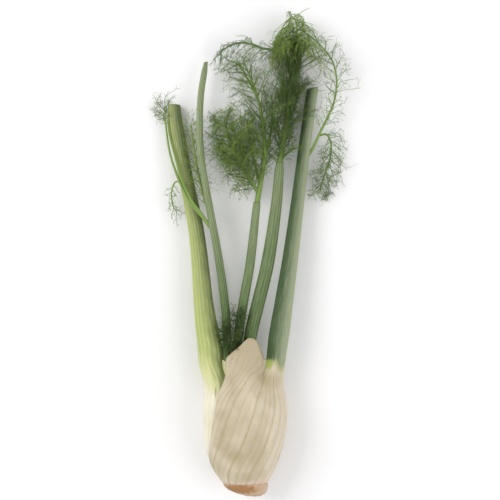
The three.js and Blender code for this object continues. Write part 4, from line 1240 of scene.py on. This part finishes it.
# %% The branches beside the outer stalks
outer_right_frond = [
    {
        "path": [
            (63, 257, 13.5), (69, 268, 13), (76.5, 284, 14), (84, 299, 16), (90, 314, 18), (92.5, 333, 20),
            (89.5, 350, 22), (83, 362, 22), (71, 375, 21), (62, 383, 18),
        ],
        "from": 1.45, "to": 0.6, "shoots": 20, "start": 0.2,
        "reach": [(0, 12), (0.4, 17), (0.7, 22), (1, 16)],
        "spread": [(0, 38), (1, 45)], "droop": [(0, 0), (0.5, 0.1), (1, 0.9)],
        "tone": 0.5, "rachis": 0.8, "thread_spread": 34, "branchlet": 0.6, "thread": 1.0, "threads": 2,
        "fullness": 0.32, "curl": 0.4,
    },
    {
        "path": [
            (74.5, 280, 13.6), (83, 281, 12), (87.5, 271, 11), (86, 255, 10), (80, 238, 9), (76, 224, 8),
        ],
        "from": 1.1, "to": 0.6, "shoots": 16, "layers": 3, "start": 0.1,
        "reach": [(0, 16), (0.6, 19), (1, 12)],
        "spread": [(0, 55), (1, 42)], "droop": [(0, 0.3), (1, 0.3)],
        "tone": 0.42, "rachis": 0.5, "thread_spread": 44, "branchlet": 0.55, "thread": 1.0, "threads": 2,
        "fullness": 0.55, "curl": 0.55,
    },
]
grow_frond("frond_outer_right", outer_right_frond, seed=13)

outer_left_frond = [
    {
        "path": [
            (-33, 184, 29), (-38.8, 192, 29), (-46, 201, 28.5), (-55, 212, 26.5), (-64.2, 229.2, 23),
            (-72.2, 249.3, 18.5), (-77.2, 267.5, 14), (-80.7, 292, 10.5), (-82, 310.5, 9),
        ],
        "from": 1.7, "to": 0.7, "shoots": 6, "layers": 3, "start": 0.87,
        "reach": [(0, 9), (1, 17)],
        "spread": [(0, 38), (1, 42)],
        "tone": 0.35, "rachis": 0.9, "thread_spread": 36, "branchlet": 0.55, "thread": 1.0, "threads": 2,
        "fullness": 0.4, "curl": 0.3,
    },
    {
        "path": [
            (-34, 188, 28.5), (-39.4, 194, 29.6), (-44.8, 202, 29.6), (-53.2, 213, 28.2), (-62, 230.5, 25.2),
            (-68, 249.3, 20.5), (-73, 266.7, 16), (-76.8, 281.4, 13.5), (-79, 298, 11.5),
        ],
        "from": 1.5, "to": 0.7, "shoots": 2, "layers": 1, "start": 0.93,
        "reach": [(0, 8), (1, 10)],
        "spread": [(0, 30), (1, 30)],
        "tone": 0.4, "rachis": 0.9, "thread_spread": 36, "branchlet": 0.5, "threads": 2,
        "fullness": 0.4,
    },
    {
        "path": [(-66, 233, 22.3), (-71, 232, 19), (-74.5, 222, 15), (-73.5, 210, 12), (-69, 202, 10)],
        "from": 0.9, "to": 0.5, "shoots": 12, "layers": 1, "start": 0.2,
        "reach": [(0, 8), (1, 10)],
        "spread": [(0, 50), (1, 45)], "droop": [(0, 0.3), (1, 0.3)],
        "tone": 0.6, "rachis": 0.4, "thread_spread": 40, "branchlet": 0.55, "threads": 2,
        "fullness": 0.8, "curl": 0.4,
    },
]
grow_frond("frond_outer_left", outer_left_frond, seed=14)

inner_left_frond = [
    {
        "path": [(-31, 188, 24), (-38, 206, 23), (-46, 236, 20.5), (-51, 264, 18), (-55, 292, 15)],
        "from": 1.5, "to": 0.6, "shoots": 18, "start": 0.2,
        "reach": [(0, 17), (0.6, 20), (1, 14)],
        "spread": [(0, 28), (1, 36)],
        "tone": 0.68, "rachis": 0.4, "thread_spread": 40, "branchlet": 0.6, "thread": 1.0, "threads": 2,
        "fullness": 0.34, "curl": 0.6,
    },
]
grow_frond("frond_inner_left", inner_left_frond, seed=15)

# The young tuft's darkest green is partly painted shade: it sits in the shadow between the left stalk and
# the flap
young_frond = [
    {
        "path": [(-2.5, 50, 37), (-3, 66, 38), (-5, 82, 38.5), (-6, 98, 39)],
        "from": 1.6, "to": 0.8, "shoots": 12, "layers": 3, "start": 0.12,
        "reach": [(0, 14), (1, 12)],
        "spread": [(0, 34), (1, 40)],
        "tone": 0.12, "rachis": 0.0, "thread_spread": 44, "branchlet": 0.5, "threads": 4,
        "fullness": 1.4, "curl": 0.4,
    },
    {
        "path": [(-2.4, 53, 37.2), (-8, 60, 41), (-15, 70, 42), (-20, 84, 42)],
        "from": 1.4, "to": 0.7, "shoots": 12, "layers": 5, "start": 0.02,
        "reach": [(0, 12), (1, 13)],
        "spread": [(0, 50), (1, 44)],
        "tone": 0.12, "rachis": 0.0, "thread_spread": 44, "branchlet": 0.38, "thread": 0.8, "threads": 4,
        "fullness": 1.4, "curl": 0.4,
    },
]
grow_frond("frond_young", young_frond, seed=16)

# %% [markdown]
# ## Camera
#
# The fennel lies down and is looked at from straight above. At 85 mm on a 36 mm sensor, a
# distance of 1.18 m fits 0.5 m across the square picture, so one pixel of 500 is 1 mm.

# %% The camera
PICTURE_WIDTH = 0.5  # metres across, at the height of the stalks
STALK_HEIGHT = 0.03
PICTURE_MIDDLE = (0.005, 0.164)
view = bpy.data.cameras.new("from_above")
view.lens = 85
view.sensor_width = 36
camera = bpy.data.objects.new("from_above", view)
camera.location = (*PICTURE_MIDDLE, STALK_HEIGHT + PICTURE_WIDTH * view.lens / view.sensor_width)
bpy.context.scene.collection.objects.link(camera)
bpy.context.scene.camera = camera
print("camera height, metres:", round(camera.location.z, 3))

# %% [markdown]
# ## Floor and light
#
# A pale matt floor, two large soft lights, the stronger from the left and beyond the bulb and the
# weaker from the right, and a pale surrounding that keeps the shadows open.

# %% Floor
floor_mesh = bpy.data.meshes.new("floor")
FLOOR = 3.0  # metres from the middle to an edge
floor_mesh.from_pydata(
    [(-FLOOR, -FLOOR, 0), (FLOOR, -FLOOR, 0), (FLOOR, FLOOR, 0), (-FLOOR, FLOOR, 0)], [], [(0, 1, 2, 3)]
)
floor = bpy.data.objects.new("floor", floor_mesh)
bpy.context.scene.collection.objects.link(floor)
tree, shader, floor_paint = blank_material("matt_white_board")
board = mixed(tree, noise(tree, 90.0, 3.0), "#f7f6f5", "#fbfafa")
fill(tree, shader, {"Base Color": board, "Roughness": 0.9})
floor_mesh.materials.append(floor_paint)


# %% Lights
def soft_light(name, place, target, width, power):
    lamp = bpy.data.lights.new(name, "AREA")
    lamp.shape = "SQUARE"
    lamp.size = width
    lamp.energy = power
    light = bpy.data.objects.new(name, lamp)
    light.location = place
    aim = np.array(target) - np.array(place)
    light.rotation_euler = (
        np.arctan2(np.hypot(aim[0], aim[1]), -aim[2]), 0, np.arctan2(aim[1], aim[0]) - np.pi / 2
    )
    bpy.context.scene.collection.objects.link(light)


soft_light("window_left", (-1.3, 0.7, 1.5), (0, 0.15, 0), 1.1, 17)
soft_light("window_right", (1.4, -0.3, 1.4), (0, 0.15, 0), 1.4, 12)
world = bpy.data.worlds.new("pale_room")
bpy.context.scene.world = world
world.use_nodes = True
world.node_tree.nodes["Background"].inputs["Color"].default_value = linear("#f4f5f7")
world.node_tree.nodes["Background"].inputs["Strength"].default_value = 0.75
bpy.context.scene.view_settings.view_transform = "Standard"
